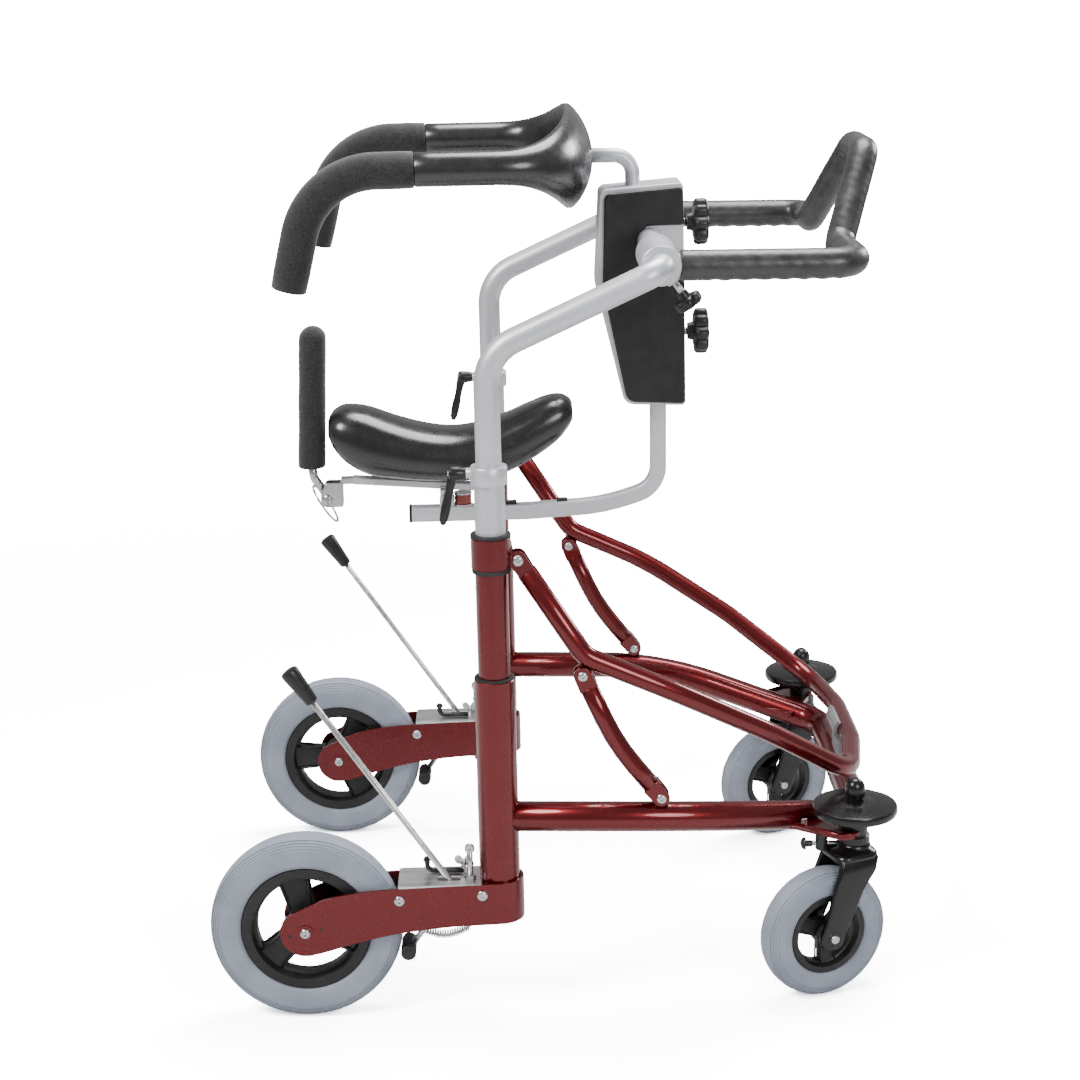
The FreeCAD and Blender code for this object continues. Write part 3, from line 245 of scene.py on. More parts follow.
def rounded(points, radii, step=4.0):
    """Points along straight runs joined by tangent arcs, a few degrees apart on the arcs."""
    route = [points[0]]
    for before, corner, after, radius in zip(points, points[1:], points[2:], radii):
        into, out = (corner - before).normalized(), (after - corner).normalized()
        turn = into.angle(out)
        reach = radius * math.tan(turn / 2)
        inward = (out - into).normalized()
        centre = corner + inward * (radius / math.cos(turn / 2))
        count = max(3, int(math.degrees(turn) / step))
        a, b = corner - into * reach - centre, corner + out * reach - centre
        for i in range(count + 1):
            share = i / count
            route.append(centre + (a * math.sin(turn * (1 - share)) + b * math.sin(turn * share))
                    / math.sin(turn))
    route.append(points[-1])
    return [p for i, p in enumerate(route) if i == 0 or (p - route[i - 1]).length > 0.01]


def frames(route, up=UP):
    """Position, side and top direction along a route, turning as little as possible."""
    result = []
    top = None
    for i, p in enumerate(route):
        ahead = (route[min(i + 1, len(route) - 1)] - route[max(i - 1, 0)]).normalized()
        if top is None:
            top = up if abs(ahead.dot(up)) < 0.9 else FORWARD
        top = (top - ahead * top.dot(ahead)).normalized()
        result.append((p, ahead.cross(top).normalized(), top))
    return result


def loft(name, rings, material, body, **options):
    """Skin over rings of equal length, with a flat face at each end."""
    count = len(rings[0])
    verts = [v for ring in rings for v in ring]
    faces = [tuple(range(count))[::-1], tuple(range(len(verts) - count, len(verts)))]
    for i in range(len(rings) - 1):
        for j in range(count):
            k = (j + 1) % count
            faces.append((i * count + j, i * count + k, (i + 1) * count + k, (i + 1) * count + j))
    return piece(name, verts, faces, material, body, **options)


def circle(centre, side, top, radius, count=40):
    return [centre + side * radius * math.cos(2 * math.pi * i / count)
            + top * radius * math.sin(2 * math.pi * i / count) for i in range(count)]


def tube(name, route, radius, material, body, count=36, edge=0.8, **options):
    """Round bar along a route; radius is a number or a function of the share of the length."""
    lengths = [0.0]
    for a, b in zip(route, route[1:]):
        lengths.append(lengths[-1] + (b - a).length)
    size = radius if callable(radius) else (lambda share: radius)
    rings = []
    run = frames(route)
    for (centre, side, top), along in zip(run, lengths):
        rings.append(circle(centre, side, top, size(along / lengths[-1]), count))
    first, last = size(0), size(1)
    out = (route[0] - route[1]).normalized(), (route[-1] - route[-2]).normalized()
    rings.insert(0, circle(run[0][0] + out[0] * edge * 0.6, run[0][1], run[0][2], first - edge, count))
    rings.append(circle(run[-1][0] + out[1] * edge * 0.6, run[-1][1], run[-1][2], last - edge, count))
    return loft(name, rings, material, body, crease=60, **options)


def rod(name, start, end, radius, material, body, **options):
    return tube(name, [start, end], radius, material, body, **options)


def basis(axis):
    axis = Vector(axis).normalized()
    side = axis.orthogonal().normalized() if abs(axis.z) < 0.99 else Vector((1, 0, 0))
    if abs(axis.y) > 0.99:
        side = Vector((1, 0, 0))
    return side, axis.cross(side).normalized(), axis


def lathe(name, profile, base, axis, material, body, count=72, **options):
    """Turned piece from (radius, height) corners; a radius of 0 closes on the axis."""
    side, top, along = basis(axis)
    closed = profile[0][0] > 0.01
    rings = [circle(base + along * h, side, top, max(r, 0.01), count) for r, h in profile]
    if closed:
        rings.append(rings[0])
        verts = [v for ring in rings for v in ring]
        faces = [(i * count + j, i * count + (j + 1) % count, (i + 1) * count + (j + 1) % count, (i + 1)
                * count + j) for i in range(len(rings) - 1) for j in range(count)]
        return piece(name, verts, faces, material, body, **options)
    return loft(name, rings, material, body, **options)


def rounded_polygon(corners, samples=6):
    """Outline of (u, v, radius) corners as (u, v) points."""
    points = [Vector((u, v)) for u, v, r in corners]
    outline = []
    for i, (u, v, radius) in enumerate(corners):
        here = points[i]
        into = (here - points[i - 1]).normalized()
        out = (points[(i + 1) % len(points)] - here).normalized()
        turn = into.angle(out)
        if radius <= 0 or turn < 0.02:
            outline.append(here)
            continue
        reach = radius * math.tan(turn / 2)
        centre = here + (out - into).normalized() * (radius / math.cos(turn / 2))
        a, b = here - into * reach - centre, here + out * reach - centre
        for k in range(samples + 1):
            s = k / samples
            outline.append(centre + (a * math.sin(turn * (1 - s)) + b * math.sin(turn * s)) / math.sin(turn))
    return [(p.x, p.y) for p in outline]


def prism(name, outline, origin, u, v, thickness, material, body, bevel=0.8, **options):
    """Flat plate: an outline in the (u, v) plane, thickness to both sides of the origin."""
    normal = u.cross(v).normalized()
    rings = [[origin + u * a + v * b + normal * h for a, b in outline]
            for h in (-thickness / 2, thickness / 2)]
    return loft(name, rings, material, body, bevel=bevel, **options)


def block(name, centre, u, v, length, height, width, material, body, bevel=0.8, corner=0.0, **options):
    a, b = length / 2, height / 2
    outline = rounded_polygon([(-a, -b, corner), (a, -b, corner), (a, b, corner), (-a, b, corner)], 4)
    return prism(name, outline, centre, u, v, width, material, body, bevel, **options)


def button_bolt(name, centre, axis, material, body, radius=7.0, height=4.0, socket=2.4):
    """Domed screw head with a hexagon socket."""
    axis = Vector(axis).normalized()
    profile = [(0, 1.2), (socket, 1.2), (socket, height), (radius * 0.55, height),
            (radius * 0.86, height * 0.72), (radius, height * 0.25), (radius, -0.6), (0, -0.6)]
    return lathe(name, profile, centre, axis, material, body, count=30, crease=50)


def curve_through(table, x):
    """Smooth height at x from (x, height) rows."""
    if x <= table[0][0]:
        return table[0][1]
    for i in range(len(table) - 1):
        if x <= table[i + 1][0]:
            x0, y0 = table[i]
            x1, y1 = table[i + 1]
            before, after = table[max(i - 1, 0)], table[min(i + 2, len(table) - 1)]
            m0 = (y1 - before[1]) / (x1 - before[0])
            m1 = (after[1] - y0) / (after[0] - x0)
            t, w = (x - x0) / (x1 - x0), x1 - x0
            return ((2 * t ** 3 - 3 * t ** 2 + 1) * y0 + (t ** 3 - 2 * t ** 2 + t) * w * m0
                    + (3 * t ** 2 - 2 * t ** 3) * y1 + (t ** 3 - t ** 2) * w * m1)
    return table[-1][1]


# ---------------------------------------------------------------- lower frame

ROOT = "lower_frame"


def lower_frame():
    half = [at(262, -TRACK, 267), at(500, -TRACK, 260), at(CROSS_TUBE[0], -178, CROSS_TUBE[1])]
    points = half + mirrored(half[::-1], -1)
    tube("lower_frame_bar", rounded(points, [350, 50, 50, 350]), LOWER_TUBE, RED, ROOT, count=48,
         stands_for=("lower_frame_tube",))
    for side, s in SIDES:
        column = at(COLUMN, -TRACK * s, 0)
        lathe("column_" + side, [(COLUMN_BORE, 134), (COLUMN_WALL, 134), (COLUMN_WALL + 1, 135),
            (COLUMN_WALL + 1, 454), (COLUMN_WALL, 455), (COLUMN_BORE, 455)],
                column, UP, RED, ROOT, stands_for=once(s, "rear_columns"))
        lathe("bush_" + side, [(20.6, 425), (22.5, 425), (22.5, 455), (25.2, 455), (25.6, 455.8),
                (25.4, 457), (24.6, 457.6), (20.6, 457.6)], column, UP, RUBBER, ROOT,
                stands_for=once(s, "column_bushes"))
        lathe("column_end_" + side, [(0, 134.5), (COLUMN_BORE, 134.5), (COLUMN_BORE, 140), (0, 140)], column,
                UP, BLACK, ROOT)
        foot = at(FOOT[0], -TRACK * s, FOOT[2])
        lug = rounded_polygon([(-9, -24, 1), (9, -24, 1), (9, 9, 8.9), (-9, 9, 8.9)])
        prism("foot_lug_" + side, lug, foot, FORWARD, UP, 8, RED, ROOT)
        for way in (-1, 1):
            lathe("weld_%s_%d" % (side, way + 1), [(0, -1.5), (5, -1.5), (7, 0), (5, 1.5), (0, 1.5)],
                  foot + Vector((way * 7, 0, -10)), FORWARD, RED, ROOT, count=24)
        fork(side, s)
        caster_arm(side, s)
    clip()


FORK_TOP = [(-22, 149), (-2, 158), (22, 169), (60, 177.5), (110, 182), (200, 185), (300, 187)]
FORK_LOW = [(4, 92.6), (22, 96.5), (55, 106), (110, 119), (180, 127.5), (240, 130), (300, 131)]
EYE = 32.5


def fork_edges(x):
    """Lower and upper edge of the fork band at a distance from the axle."""
    arc = math.sqrt(max(EYE ** 2 - x ** 2, 0.04))
    top = 125 + arc if x < FORK_TOP[0][0] else curve_through(FORK_TOP, x)
    low = 125 - arc if x < FORK_LOW[0][0] else curve_through(FORK_LOW, x)
    return low, top


def fork(side, s):
    """Painted band from one side of the wheel round the column to the other side."""
    path = [(-EYE * math.cos(math.radians(a)), -BAND_MIDDLE) for a in range(2, 86, 6)]
    path += [(x, -BAND_MIDDLE) for x in range(4, 252, 8)]
    path += [(COLUMN + BAND_MIDDLE * math.sin(math.radians(a)), -BAND_MIDDLE * math.cos(math.radians(a)))
            for a in range(0, 91, 6)]
    path = path + [(x, -y) for x, y in path[::-1][1:]]
    rings = []
    for i, (x, y) in enumerate(path):
        before, after = path[max(i - 1, 0)], path[min(i + 1, len(path) - 1)]
        run = Vector((after[0] - before[0], after[1] - before[1], 0)).normalized()
        out = Vector((run.y, -run.x, 0)) * 2.0
        low, top = fork_edges(x)
        ring = []
        for k, h in ((1, low), (1, top), (-1, top), (-1, low)):
            p = at(x, -TRACK + y, h) + out * k
            ring.append(Vector((p.x, p.y * s, p.z)))
        rings.append(ring)
    loft("fork_" + side, rings, RED, ROOT, bevel=0.9, crease=50, stands_for=once(s, "rear_forks"))
    for face in (-1, 1):
        y = -TRACK * s + face * 31
        out = Vector((0, face, 0))
        tag = "%s_%d" % (side, face + 1)
        for i, (x, z) in enumerate([(122.5, 166.5), (229, 171)]):
            button_bolt("cheek_bolt_%s_%d" % (tag, i), at(x, y, z), out, ZINC, ROOT, 7.2, 3.6)
        lathe("axle_washer_" + tag, [(0, 0), (11, 0), (11, 1.0), (0, 1.0)], at(0, y, 125), out, RED, ROOT)
        button_bolt("axle_head_" + tag, at(0, y, 125) + out * 1.0, out, ZINC, ROOT, 7.0, 4.2, 2.4)
        for i, (x, z) in enumerate([(-20, 121), (20, 129)]):
            lathe("pin_%s_%d" % (tag, i), [(0, -0.5), (2.4, -0.5), (2.0, 0.5), (0, 0.5)], at(x, y, z), out,
                    BLACK, ROOT, count=20)
    rod("axle_" + side, at(0, (-TRACK - 30) * s, REAR_TYRE), at(0, (-TRACK + 30) * s, REAR_TYRE), AXLE_BOLT,
            ZINC, ROOT)
    foot = at(FOOT[0], -TRACK * s, FOOT[2])
    rod("foot_bolt_" + side, foot - ACROSS * 9, foot + ACROSS * 9, PIVOT_BOLT, ZINC, ROOT,
        stands_for=once(s, "frame_bolts"))


def caster_arm(side, s):
    edge = [(630, -215, 8), (690, -168, 8), (727, -250, 20), (716, -294, 20), (694, -291, 20),
            (626, -242, 10)]
    outline = [(x + AXLE_X, y * s) for x, y in rounded_polygon(edge)]
    x, y = CASTER[0], -CASTER[1] * s
    rim = rounded([at(px, py * s, 223) for px, py in ((624, -240), (692, -290), (716, -292), (728, -252))],
            [20, 18])
    tube("caster_flange_" + side, rim, 3.4, RED, ROOT, count=20)
    prism("caster_plate_" + side, outline, Vector((0, 0, 219.5)), FORWARD, ACROSS, 7, RED, ROOT, bevel=1.2,
          stands_for=once(s, "caster_arms"))
    lathe("head_tube_" + side, [(8.1, 205), (19, 205), (20, 206), (20, 215), (17, 217), (17, 245),
            (8.1, 245)], at(x, y, 0), UP, BLACK, ROOT)
    lathe("plunger_guide_" + side, [(0, 195), (7, 195), (8, 196), (8, 217), (0, 217)], at(673, y, 0), UP,
            BLACK, ROOT, count=36)
    lathe("bumper_disc_" + side, [(0, 245), (50, 245), (53.6, 246), (55, 248.4), (55, 255), (53.8, 257.2),
            (50, 258.4), (30, 260), (22, 260.4), (20, 261.6), (0, 261.6)], at(x, y, 0), UP, GLOSS, ROOT,
            count=96, stands_for=once(s, "bumper_discs"))
    lathe("cap_nut_" + side, [(0, 261), (12.5, 261), (12.5, 265.4), (11, 266), (11, 268), (12.6, 268.5),
            (13, 270), (13, 280), (12.2, 284), (10, 288), (7, 291), (3.5, 292.7), (0, 293)], at(x, y, 0), UP,
            GLOSS, ROOT, count=48)
    screw = at(652, -240 * s, 223)
    lathe("arm_screw_" + side, [(0, 0), (6.5, 0), (6.5, 4), (5, 5), (2.6, 5), (2.6, 2.5), (0, 2.5)], screw,
            UP, ZINC, ROOT, count=6, crease=30)


def clip():
    """Spring clip on the front cross tube that holds the bow down."""
    bore, outer = BOW_TUBE + 0.5, 19.5
    def arc(radius, angle, middle=BOW_FRONT):
        a = math.radians(angle)
        return middle[0] + radius * math.cos(a), middle[1] + radius * math.sin(a)
    outline = [arc(bore, a) for a in range(128, 339, 10)] + [arc(outer, a) for a in range(338, 284, -10)]
    seat = [arc(LOWER_TUBE - 0.1, a, CROSS_TUBE) for a in (65, 78, 92, 105)]
    outline += seat + [arc(outer, a) for a in range(235, 127, -10)]
    outline = [(x + AXLE_X, z) for x, z in outline]
    prism("bow_clip_shell", outline, Vector((0, 0, 0)), FORWARD, UP, 70, CLIP_GREY, ROOT, bevel=0.8,
          stands_for=("bow_clip",))


def brake_fittings(side, s):
    """Plate between the cheeks with the hook, wing screw, eye bolt and return spring on it."""
    def local(x, dy, z):
        return at(x, (-TRACK + dy) * s, z)
    plate, slot = ([(u + AXLE_X, (v - TRACK) * s) for u, v in rounded_polygon(corners)] for corners in (
        [(121, -30.5, 2), (229, -30.5, 2), (229, 30.5, 2), (121, 30.5, 2)],
        [(172, -15, 5), (202, -15, 5), (202, -3, 5), (172, -3, 5)]))
    walls = [(ring, z) for ring, z in ((plate, 182.5), (plate, 186), (slot, 186), (slot, 182.5))]
    n = len(plate)
    piece("brake_plate_" + side, [Vector((x, y, z)) for ring, z in walls for x, y in ring],
            [(r * n + i, r * n + (i + 1) % n, (r + 1) % 4 * n + (i + 1) % n, (r + 1) % 4 * n + i)
            for r in range(4) for i in range(n)], STEEL, ROOT, bevel=0.7, stands_for=once(s, "brake_plates"))
    for way in (-1, 1):
        block("plate_flange_%s_%d" % (side, way + 1), local(173, way * 25.2, 170), FORWARD, UP, 104, 26, 3,
                STEEL, ROOT, bevel=0.6)
    arm = rounded([local(205, 9, 190), local(168, 10, 190), local(158, 10.5, 191), local(158, 10.5, 205)],
            [8, 8])
    tube("drag_hook_" + side, arm, 3.4, BLACK, ROOT, count=20, stands_for=once(s, "brake_hardware"))
    lathe("drag_tip_" + side, [(0, -3), (4, -2.5), (5.4, 0), (4, 3.5), (0, 4.6)], local(158, 10.5, 205), UP,
            BLACK, ROOT, count=28)
    rod("wing_stem_" + side, local(205, 10.5, 186), local(205, 10.5, 204), 3.6, ZINC, ROOT, count=20)
    for way in (-1, 1):
        blade = rounded_polygon([(0, -1, 1), (10, 1, 5), (13, 10, 5), (5, 13, 4), (0, 6, 1)])
        prism("wing_%s_%d" % (side, way + 1), [(u * way, v) for u, v in blade][::way], local(205, 10.5, 198),
                FORWARD, UP, 3.2, ZINC, ROOT, bevel=1.2)
    lathe("eye_nut_" + side, [(0, 0), (7.4, 0), (7.4, 6), (0, 6)], local(214, -12, 186), UP, ZINC, ROOT,
            count=6, crease=30)
    rod("eye_stem_" + side, local(214, -12, 188), local(214, -12, 224), 3.8, ZINC, ROOT, count=20)
    lathe("eye_ring_" + side, [(1.6, -3.4), (5.2, -3.4), (6.6, -1.6), (6.6, 1.6), (5.2, 3.4), (1.6, 3.4)],
          local(214, -12, 229), ACROSS, ZINC, ROOT, count=30)
    lathe("eye_collar_" + side, [(0, 0), (5, 0), (5, 4), (0, 4)], local(214, -12, 206), UP, ZINC, ROOT,
            count=6, crease=30)
    coil = []
    sag = 10 if s > 0 else 0
    for i in range(0, 14 * 20 + 1):
        a, share = 2 * math.pi * i / 14, i / (14 * 20)
        coil.append(local(146 + 64 * share, 5 + 5 * math.cos(a), (112 if s > 0 else 124) - sag
                * math.sin(math.pi * share) + 5 * math.sin(a)))
    tube("return_spring_" + side, coil, 0.95, ZINC, ROOT, count=8, edge=0.2)
    block("spring_anchor_" + side, local(212, 4, 148), ACROSS, UP, 22, 62, 3, BLACK, ROOT, bevel=0.6)


def brake(side, s):
    body = "brake_" + side
    y = (-TRACK - 9) * s
    pivot, tip = at(186, y, 165), at(-6, y, 474)
    knee = at(190, y, 180)
    along = (tip - knee).normalized()
    grip = tip - along * 50
    tube("brake_lever_" + side, rounded([pivot, knee, grip + along * 4], [12]), 4, ZINC, body,
         stands_for=("brake_rod_" + side,))
    lathe("brake_boss_" + side, [(4.1, -4), (8.5, -4), (9, -3.5), (9, 3.5), (8.5, 4), (4.1, 4)], pivot,
            ACROSS, ZINC, body, count=40)
    lathe("brake_handle_" + side, [(0, -1), (6.5, -1), (8.2, 0), (8.6, 2), (11.6, 40), (12, 46), (11.4, 49),
            (9, 50.6), (0, 51)], grip, along, BLACK, body, count=48, stands_for=("brake_knob_" + side,))
    shoe = at(131, y, 88)
    run = (shoe - pivot).normalized()
    rod("brake_web_" + side, pivot, shoe - run * 6, 4, ZINC, body)
    lathe("shoe_roller_" + side, [(0, 0), (8.8, 0), (10, 1.2), (10, 42.8), (8.8, 44), (0, 44)], shoe - ACROSS
            * (13 if s > 0 else 31), ACROSS, RUBBER, body, count=48, stands_for=("brake_shoe_" + side,))
    for k in (-1, 1):
        lathe("shoe_washer_%s_%d" % (side, k + 1), [(0, 0), (4.5, 0), (4.5, 1.2), (0, 1.2)],
              shoe + ACROSS * ((9 * s) + k * 22.2 - 0.6), ACROSS, BLACK, body, count=28)


# ---------------------------------------------------------------- wheels

def tyre_profile(radius, rim, width):
    """Tyre section: flat wall, then a shoulder with four fine grooves up to the tread."""
    h = width / 2
    side = [(rim, h * 0.78), (rim + 2, h * 0.92), (rim + 6, h * 0.98), (radius - 15, h)]
    for inset, edge in ((12.0, 0.985), (8.6, 0.92), (5.6, 0.82), (3.0, 0.66)):
        r = radius - inset
        side += [(r - 0.75, h * edge + 0.15), (r - 0.2, h * edge - 0.9), (r + 0.2, h * edge - 0.9),
                (r + 0.75, h * edge - 0.15)]
    side += [(radius - 1.0, h * 0.44), (radius - 0.2, h * 0.2)]
    return [(r, -z) for r, z in side] + [(r, z) for r, z in side[::-1]]


def spoked_rim(name, radius, width, hub, axis, centre, body, wide, phase, node):
    """Moulded rim: deep dished ring, hub, and three broad ribbed spokes."""
    half, k = width * 0.42, radius / 87.2
    outer = [(radius - 14 * k, -half), (radius - 1.5, -half), (radius, -half + 1.5), (radius, half - 1.5),
            (radius - 1.5, half), (radius - 14 * k, half), (radius - 15 * k, half - 1.5),
            (radius - 17 * k, half * 0.45), (radius - 21 * k, half * 0.36), (radius - 21 * k, -half * 0.36),
            (radius - 17 * k, -half * 0.45), (radius - 15 * k, 1.5 - half)]
    lathe(name + "_ring", outer, centre, axis, RIM, body, count=96, stands_for=(node,))
    hub_shape = [(6.1, -half - 2), (hub - 6, -half - 2), (hub - 4, -half), (hub, -half + 4), (hub + 1, 0),
            (hub, half - 4), (hub - 4, half), (hub - 6, half + 2), (6.1, half + 2)]
    lathe(name + "_hub", hub_shape, centre, axis, RIM, body, count=64)
    along = Vector(axis)
    if along.y < 0:
        along = -along
    turn = Matrix.Rotation(math.atan2(-along.x, along.y), 3, "Z")
    for i in range(3):
        a = math.radians(phase + 120 * i)
        out = turn @ (FORWARD * math.cos(a) + UP * math.sin(a))
        across = out.cross(along).normalized()
        rings = []
        for r, w, t in ((hub - 3, 0.98, 9.5), (hub + (radius - hub) * 0.3, 0.84, 8.0),
                (radius - 26 * k, 0.96, 7.5), (radius - 20 * k, 1.18, 8.5), (radius - 15.5 * k, 1.5, 9.0)):
            w, t = w * wide / 2, t * (0.45 + 0.55 * k)
            outline = rounded_polygon([(-w, -t, 2.5), (w, -t, 2.5), (w, t, 2.5), (-w, t, 2.5)], 4)
            rings.append([centre + out * r + across * u + along * v for u, v in outline])
        loft("%s_spoke_%d" % (name, i), rings, RIM, body, crease=50)
        for way in (-1, 1):
            for edge in (-1, 1):
                start = centre + out * (hub + 1) + across * edge * wide * 0.40 + along * way * 8 * (0.45
                        + 0.55 * k)
                end = (centre + out * (radius - 18 * k) + across * edge * wide * 0.50
                       + along * way * 9 * (0.45 + 0.55 * k))
                rod("%s_rib_%d_%d_%d" % (name, i, way + 1, edge + 1), start, end, 1.9 * k, RIM, body,
                        count=16)


def rear_wheel(side, s, phase):
    body = "rear_wheel_" + side
    centre = at(0, -TRACK * s, REAR_TYRE)
    lathe("rear_tread_" + side, tyre_profile(REAR_TYRE, REAR_RIM - 0.2, REAR_WIDTH), centre, ACROSS, TYRE,
            body, count=128, crease=60, stands_for=("rear_tyre_" + side,))
    spoked_rim("rear_wheel_%s" % side, REAR_RIM, REAR_WIDTH, 25, ACROSS, centre, body, 36, phase, "rear_rim_"
            + side)


def caster(side, s, phase):
    body = "caster_" + side
    turn = Matrix.Rotation(CASTER_YAW, 3, "Z")
    stem = at(CASTER[0], -CASTER[1] * s, 0)
    forward, across = turn @ FORWARD, turn @ ACROSS
    def local(x, y, z):
        return stem + forward * x + across * y + UP * z
    lathe("stem_%s" % side, [(0, 196), (20.5, 196), (21.5, 197.5), (21, 202.5), (19, 204.6), (8, 204.6),
            (8, 243), (0, 243)], stem, UP, FORK, body, stands_for=("caster_fork_" + side,))
    rows = [(-29, 18, 196, 20), (-34, 21, 190, 24.5), (-38, 16, 174, 27.5), (-43, 7, 162, 28.5),
            (-47, -3, 148, 29), (-53, -13, 125, 29), (-60, -23, 105, 29), (-65, -29, 92, 29),
            (-66, -31, 84, 29), (-61, -34, 76, 29), (-54, -40, 73, 29)]
    for k in (-1, 1):
        rings = []
        for i, (rear, front, z, offset) in enumerate(rows):
            half = 4.0 if i > 2 else 4.5
            section = rounded_polygon([(rear, offset - half, 2), (front, offset - half, 2),
                    (front, offset + half, 3.2), (rear, offset + half, 3.2)], 5)
            rings.append([local(x, k * y, z) for x, y in section])
        loft("fork_leg_%s_%d" % (side, k + 1), rings, FORK, body, crease=70)
    crown = []
    for z, rear, front, half_wide in ((184.5, -30, 14, 20), (186, -36, 20, 26), (190, -37, 22.5, 30.5),
            (194, -36, 23, 30), (197.6, -32, 22, 27), (199.3, -24, 20, 20.4), (203, -20, 17, 17)):
        corner = min(14, half_wide * 0.7)
        crown.append([local(x, y, z) for x, y in rounded_polygon([(rear, -half_wide, corner),
                (front, -half_wide, corner), (front, half_wide, corner), (rear, half_wide, corner)])])
    loft("fork_crown_" + side, crown, FORK, body, crease=70)
    hub = local(-CASTER_TRAIL, 0, FRONT_TYRE)
    for k in (-1, 1):
        lathe("caster_cup_%s_%d" % (side, k + 1), [(0, 0), (10.5, 0), (9.5, 1.6), (0, 1.6)], hub + across * k
                * 32, across * k, FORK, body, count=40)
        button_bolt("caster_bolt_%s_%d" % (side, k + 1), hub + across * k * 33.4, across * k, ZINC, body, 6,
                2.6, 2.4)
    rod("caster_axle_" + side, hub - across * 31, hub + across * 31, AXLE_BOLT, ZINC, body)

    wheel = "front_wheel_" + side
    lathe("front_tread_" + side, tyre_profile(FRONT_TYRE, FRONT_RIM - 0.2, FRONT_WIDTH), hub, across, TYRE,
            wheel, count=112, crease=60, stands_for=("front_tyre_" + side,))
    spoked_rim("front_wheel_%s" % side, FRONT_RIM, FRONT_WIDTH, 16, across, hub, wheel, 22, phase,
            "front_rim_" + side)

    pin = "plunger_" + side
    start = at(651.5, -CASTER[1] * s, 203)
    rod("plunger_pin_" + side, start - FORWARD * 1, start + FORWARD * 44, 3, ZINC, pin, count=20,
        stands_for=("lock_plunger_" + side,))
    lathe("plunger_head_" + side, [(0, -6), (4, -5.6), (7.4, -3.4), (8.4, -0.6), (7.8, 0.6), (4.4, 1.2),
            (4.2, 9), (0, 9)], start, FORWARD, BLACK, pin, count=36)


# ---------------------------------------------------------------- carriage, bow and links

def carriage():
    body = "carriage"
    for side, s in SIDES:
        column = at(COLUMN, -TRACK * s, 0)
        lathe("carriage_tube_" + side, [(SLEEVE_BORE, 330), (20.5, 330), (20.5, 601), (SLEEVE_BORE, 601)], column, UP,
                RED, body, stands_for=once(s, "carriage_tubes"))
        lathe("collar_" + side, [(SLEEVE_BORE, 600), (24, 600), (25, 601), (25, 639), (24, 640), (SLEEVE_BORE, 640)],
                column, UP, RED, body, stands_for=once(s, "upper_collars"))
        lathe("collar_low_ring_" + side, [(20.5, 594.5), (23.8, 594.5), (24.4, 595.3), (24.4, 599.2),
                (23.8, 600), (20.5, 600)], column, UP, RUBBER, body, stands_for=once(s, "collar_rings"))
        lathe("collar_top_ring_" + side, [(SLEEVE_BORE, 640), (24.8, 640), (25.4, 640.8), (25.4, 643), (24.6, 644),
                (SLEEVE_BORE, 644)], column, UP, RUBBER, body)
        hinge = at(BOW_HINGE[0], -TRACK * s, BOW_HINGE[2])
        tongue = rounded_polygon([(-17, -9, 1), (10, -9, 9), (10, 9, 9), (-17, 9, 1)])
        prism("tongue_" + side, tongue, hinge, FORWARD, UP, 10, RED, body, bevel=1.0)
        button_bolt("collar_screw_" + side, at(276, -TRACK * s, 630), FORWARD, ZINC, body, 4.4, 2.4, 1.6)


def clevis(name, centre, run, body, inner=5.3, outer=9.3, radius=11.0, reach=26.0, foot=0.0):
    """Two rounded cheeks each side of a pivot, closed by a bridge towards run."""
    top = run.cross(ACROSS).normalized()
    half = (outer - inner) / 2
    end = foot or radius * 0.86
    cheek = rounded_polygon([(-radius, -radius, radius * 0.99), (reach, -end, 1), (reach, end, 1),
            (-radius, radius, radius * 0.99)])
    for k in (-1, 1):
        prism("%s_cheek_%d" % (name, k + 1), cheek, centre + ACROSS * k * (inner + half), run, top, outer
                - inner, RED, body, bevel=0.9)
    block(name + "_bridge", centre + run * (reach - 4), run, top, 8, end * 2 - 0.6, outer * 2 - 0.4, RED,
            body, bevel=1.4)


def bow():
    body = "bow"
    corners = [at(*BOW_HINGE), at(366, -304, 481), at(480, -300, 429), at(600, -254, 357),
            at(722, -190, 270), at(BOW_FRONT[0], -70, BOW_FRONT[1])]
    run = (corners[1] - corners[0]).normalized()
    corners[0] = corners[0] + run * 20
    radii = [45, 250, 250, 72, 150]
    tube("lift_bow_bar", rounded(corners + mirrored(corners[::-1], -1), radii + radii[::-1]), BOW_TUBE, RED,
            body, count=40, stands_for=("lift_bow",))
    for side, s in SIDES:
        hinge = at(BOW_HINGE[0], -TRACK * s, BOW_HINGE[2])
        clevis("bow_clevis_" + side, hinge, run, body, radius=12)
        rod("hinge_shaft_" + side, hinge - ACROSS * 10, hinge + ACROSS * 10, PIVOT_BOLT, ZINC, body, count=24,
            stands_for=once(s, "bow_bolts"))
        for k in (-1, 1):
            button_bolt("hinge_head_%s_%d" % (side, k + 1), hinge + ACROSS * k * 9.3, ACROSS * k, ZINC, body,
                    7.4, 3.8)
        knee = at(KNEE[0], -TRACK * s, KNEE[2])
        lug = rounded_polygon([(-9, -9, 8.9), (9, -9, 8.9), (16, 20, 1), (-2, 24, 1)])
        prism("knee_lug_" + side, lug, knee, FORWARD, UP, 8, RED, body)


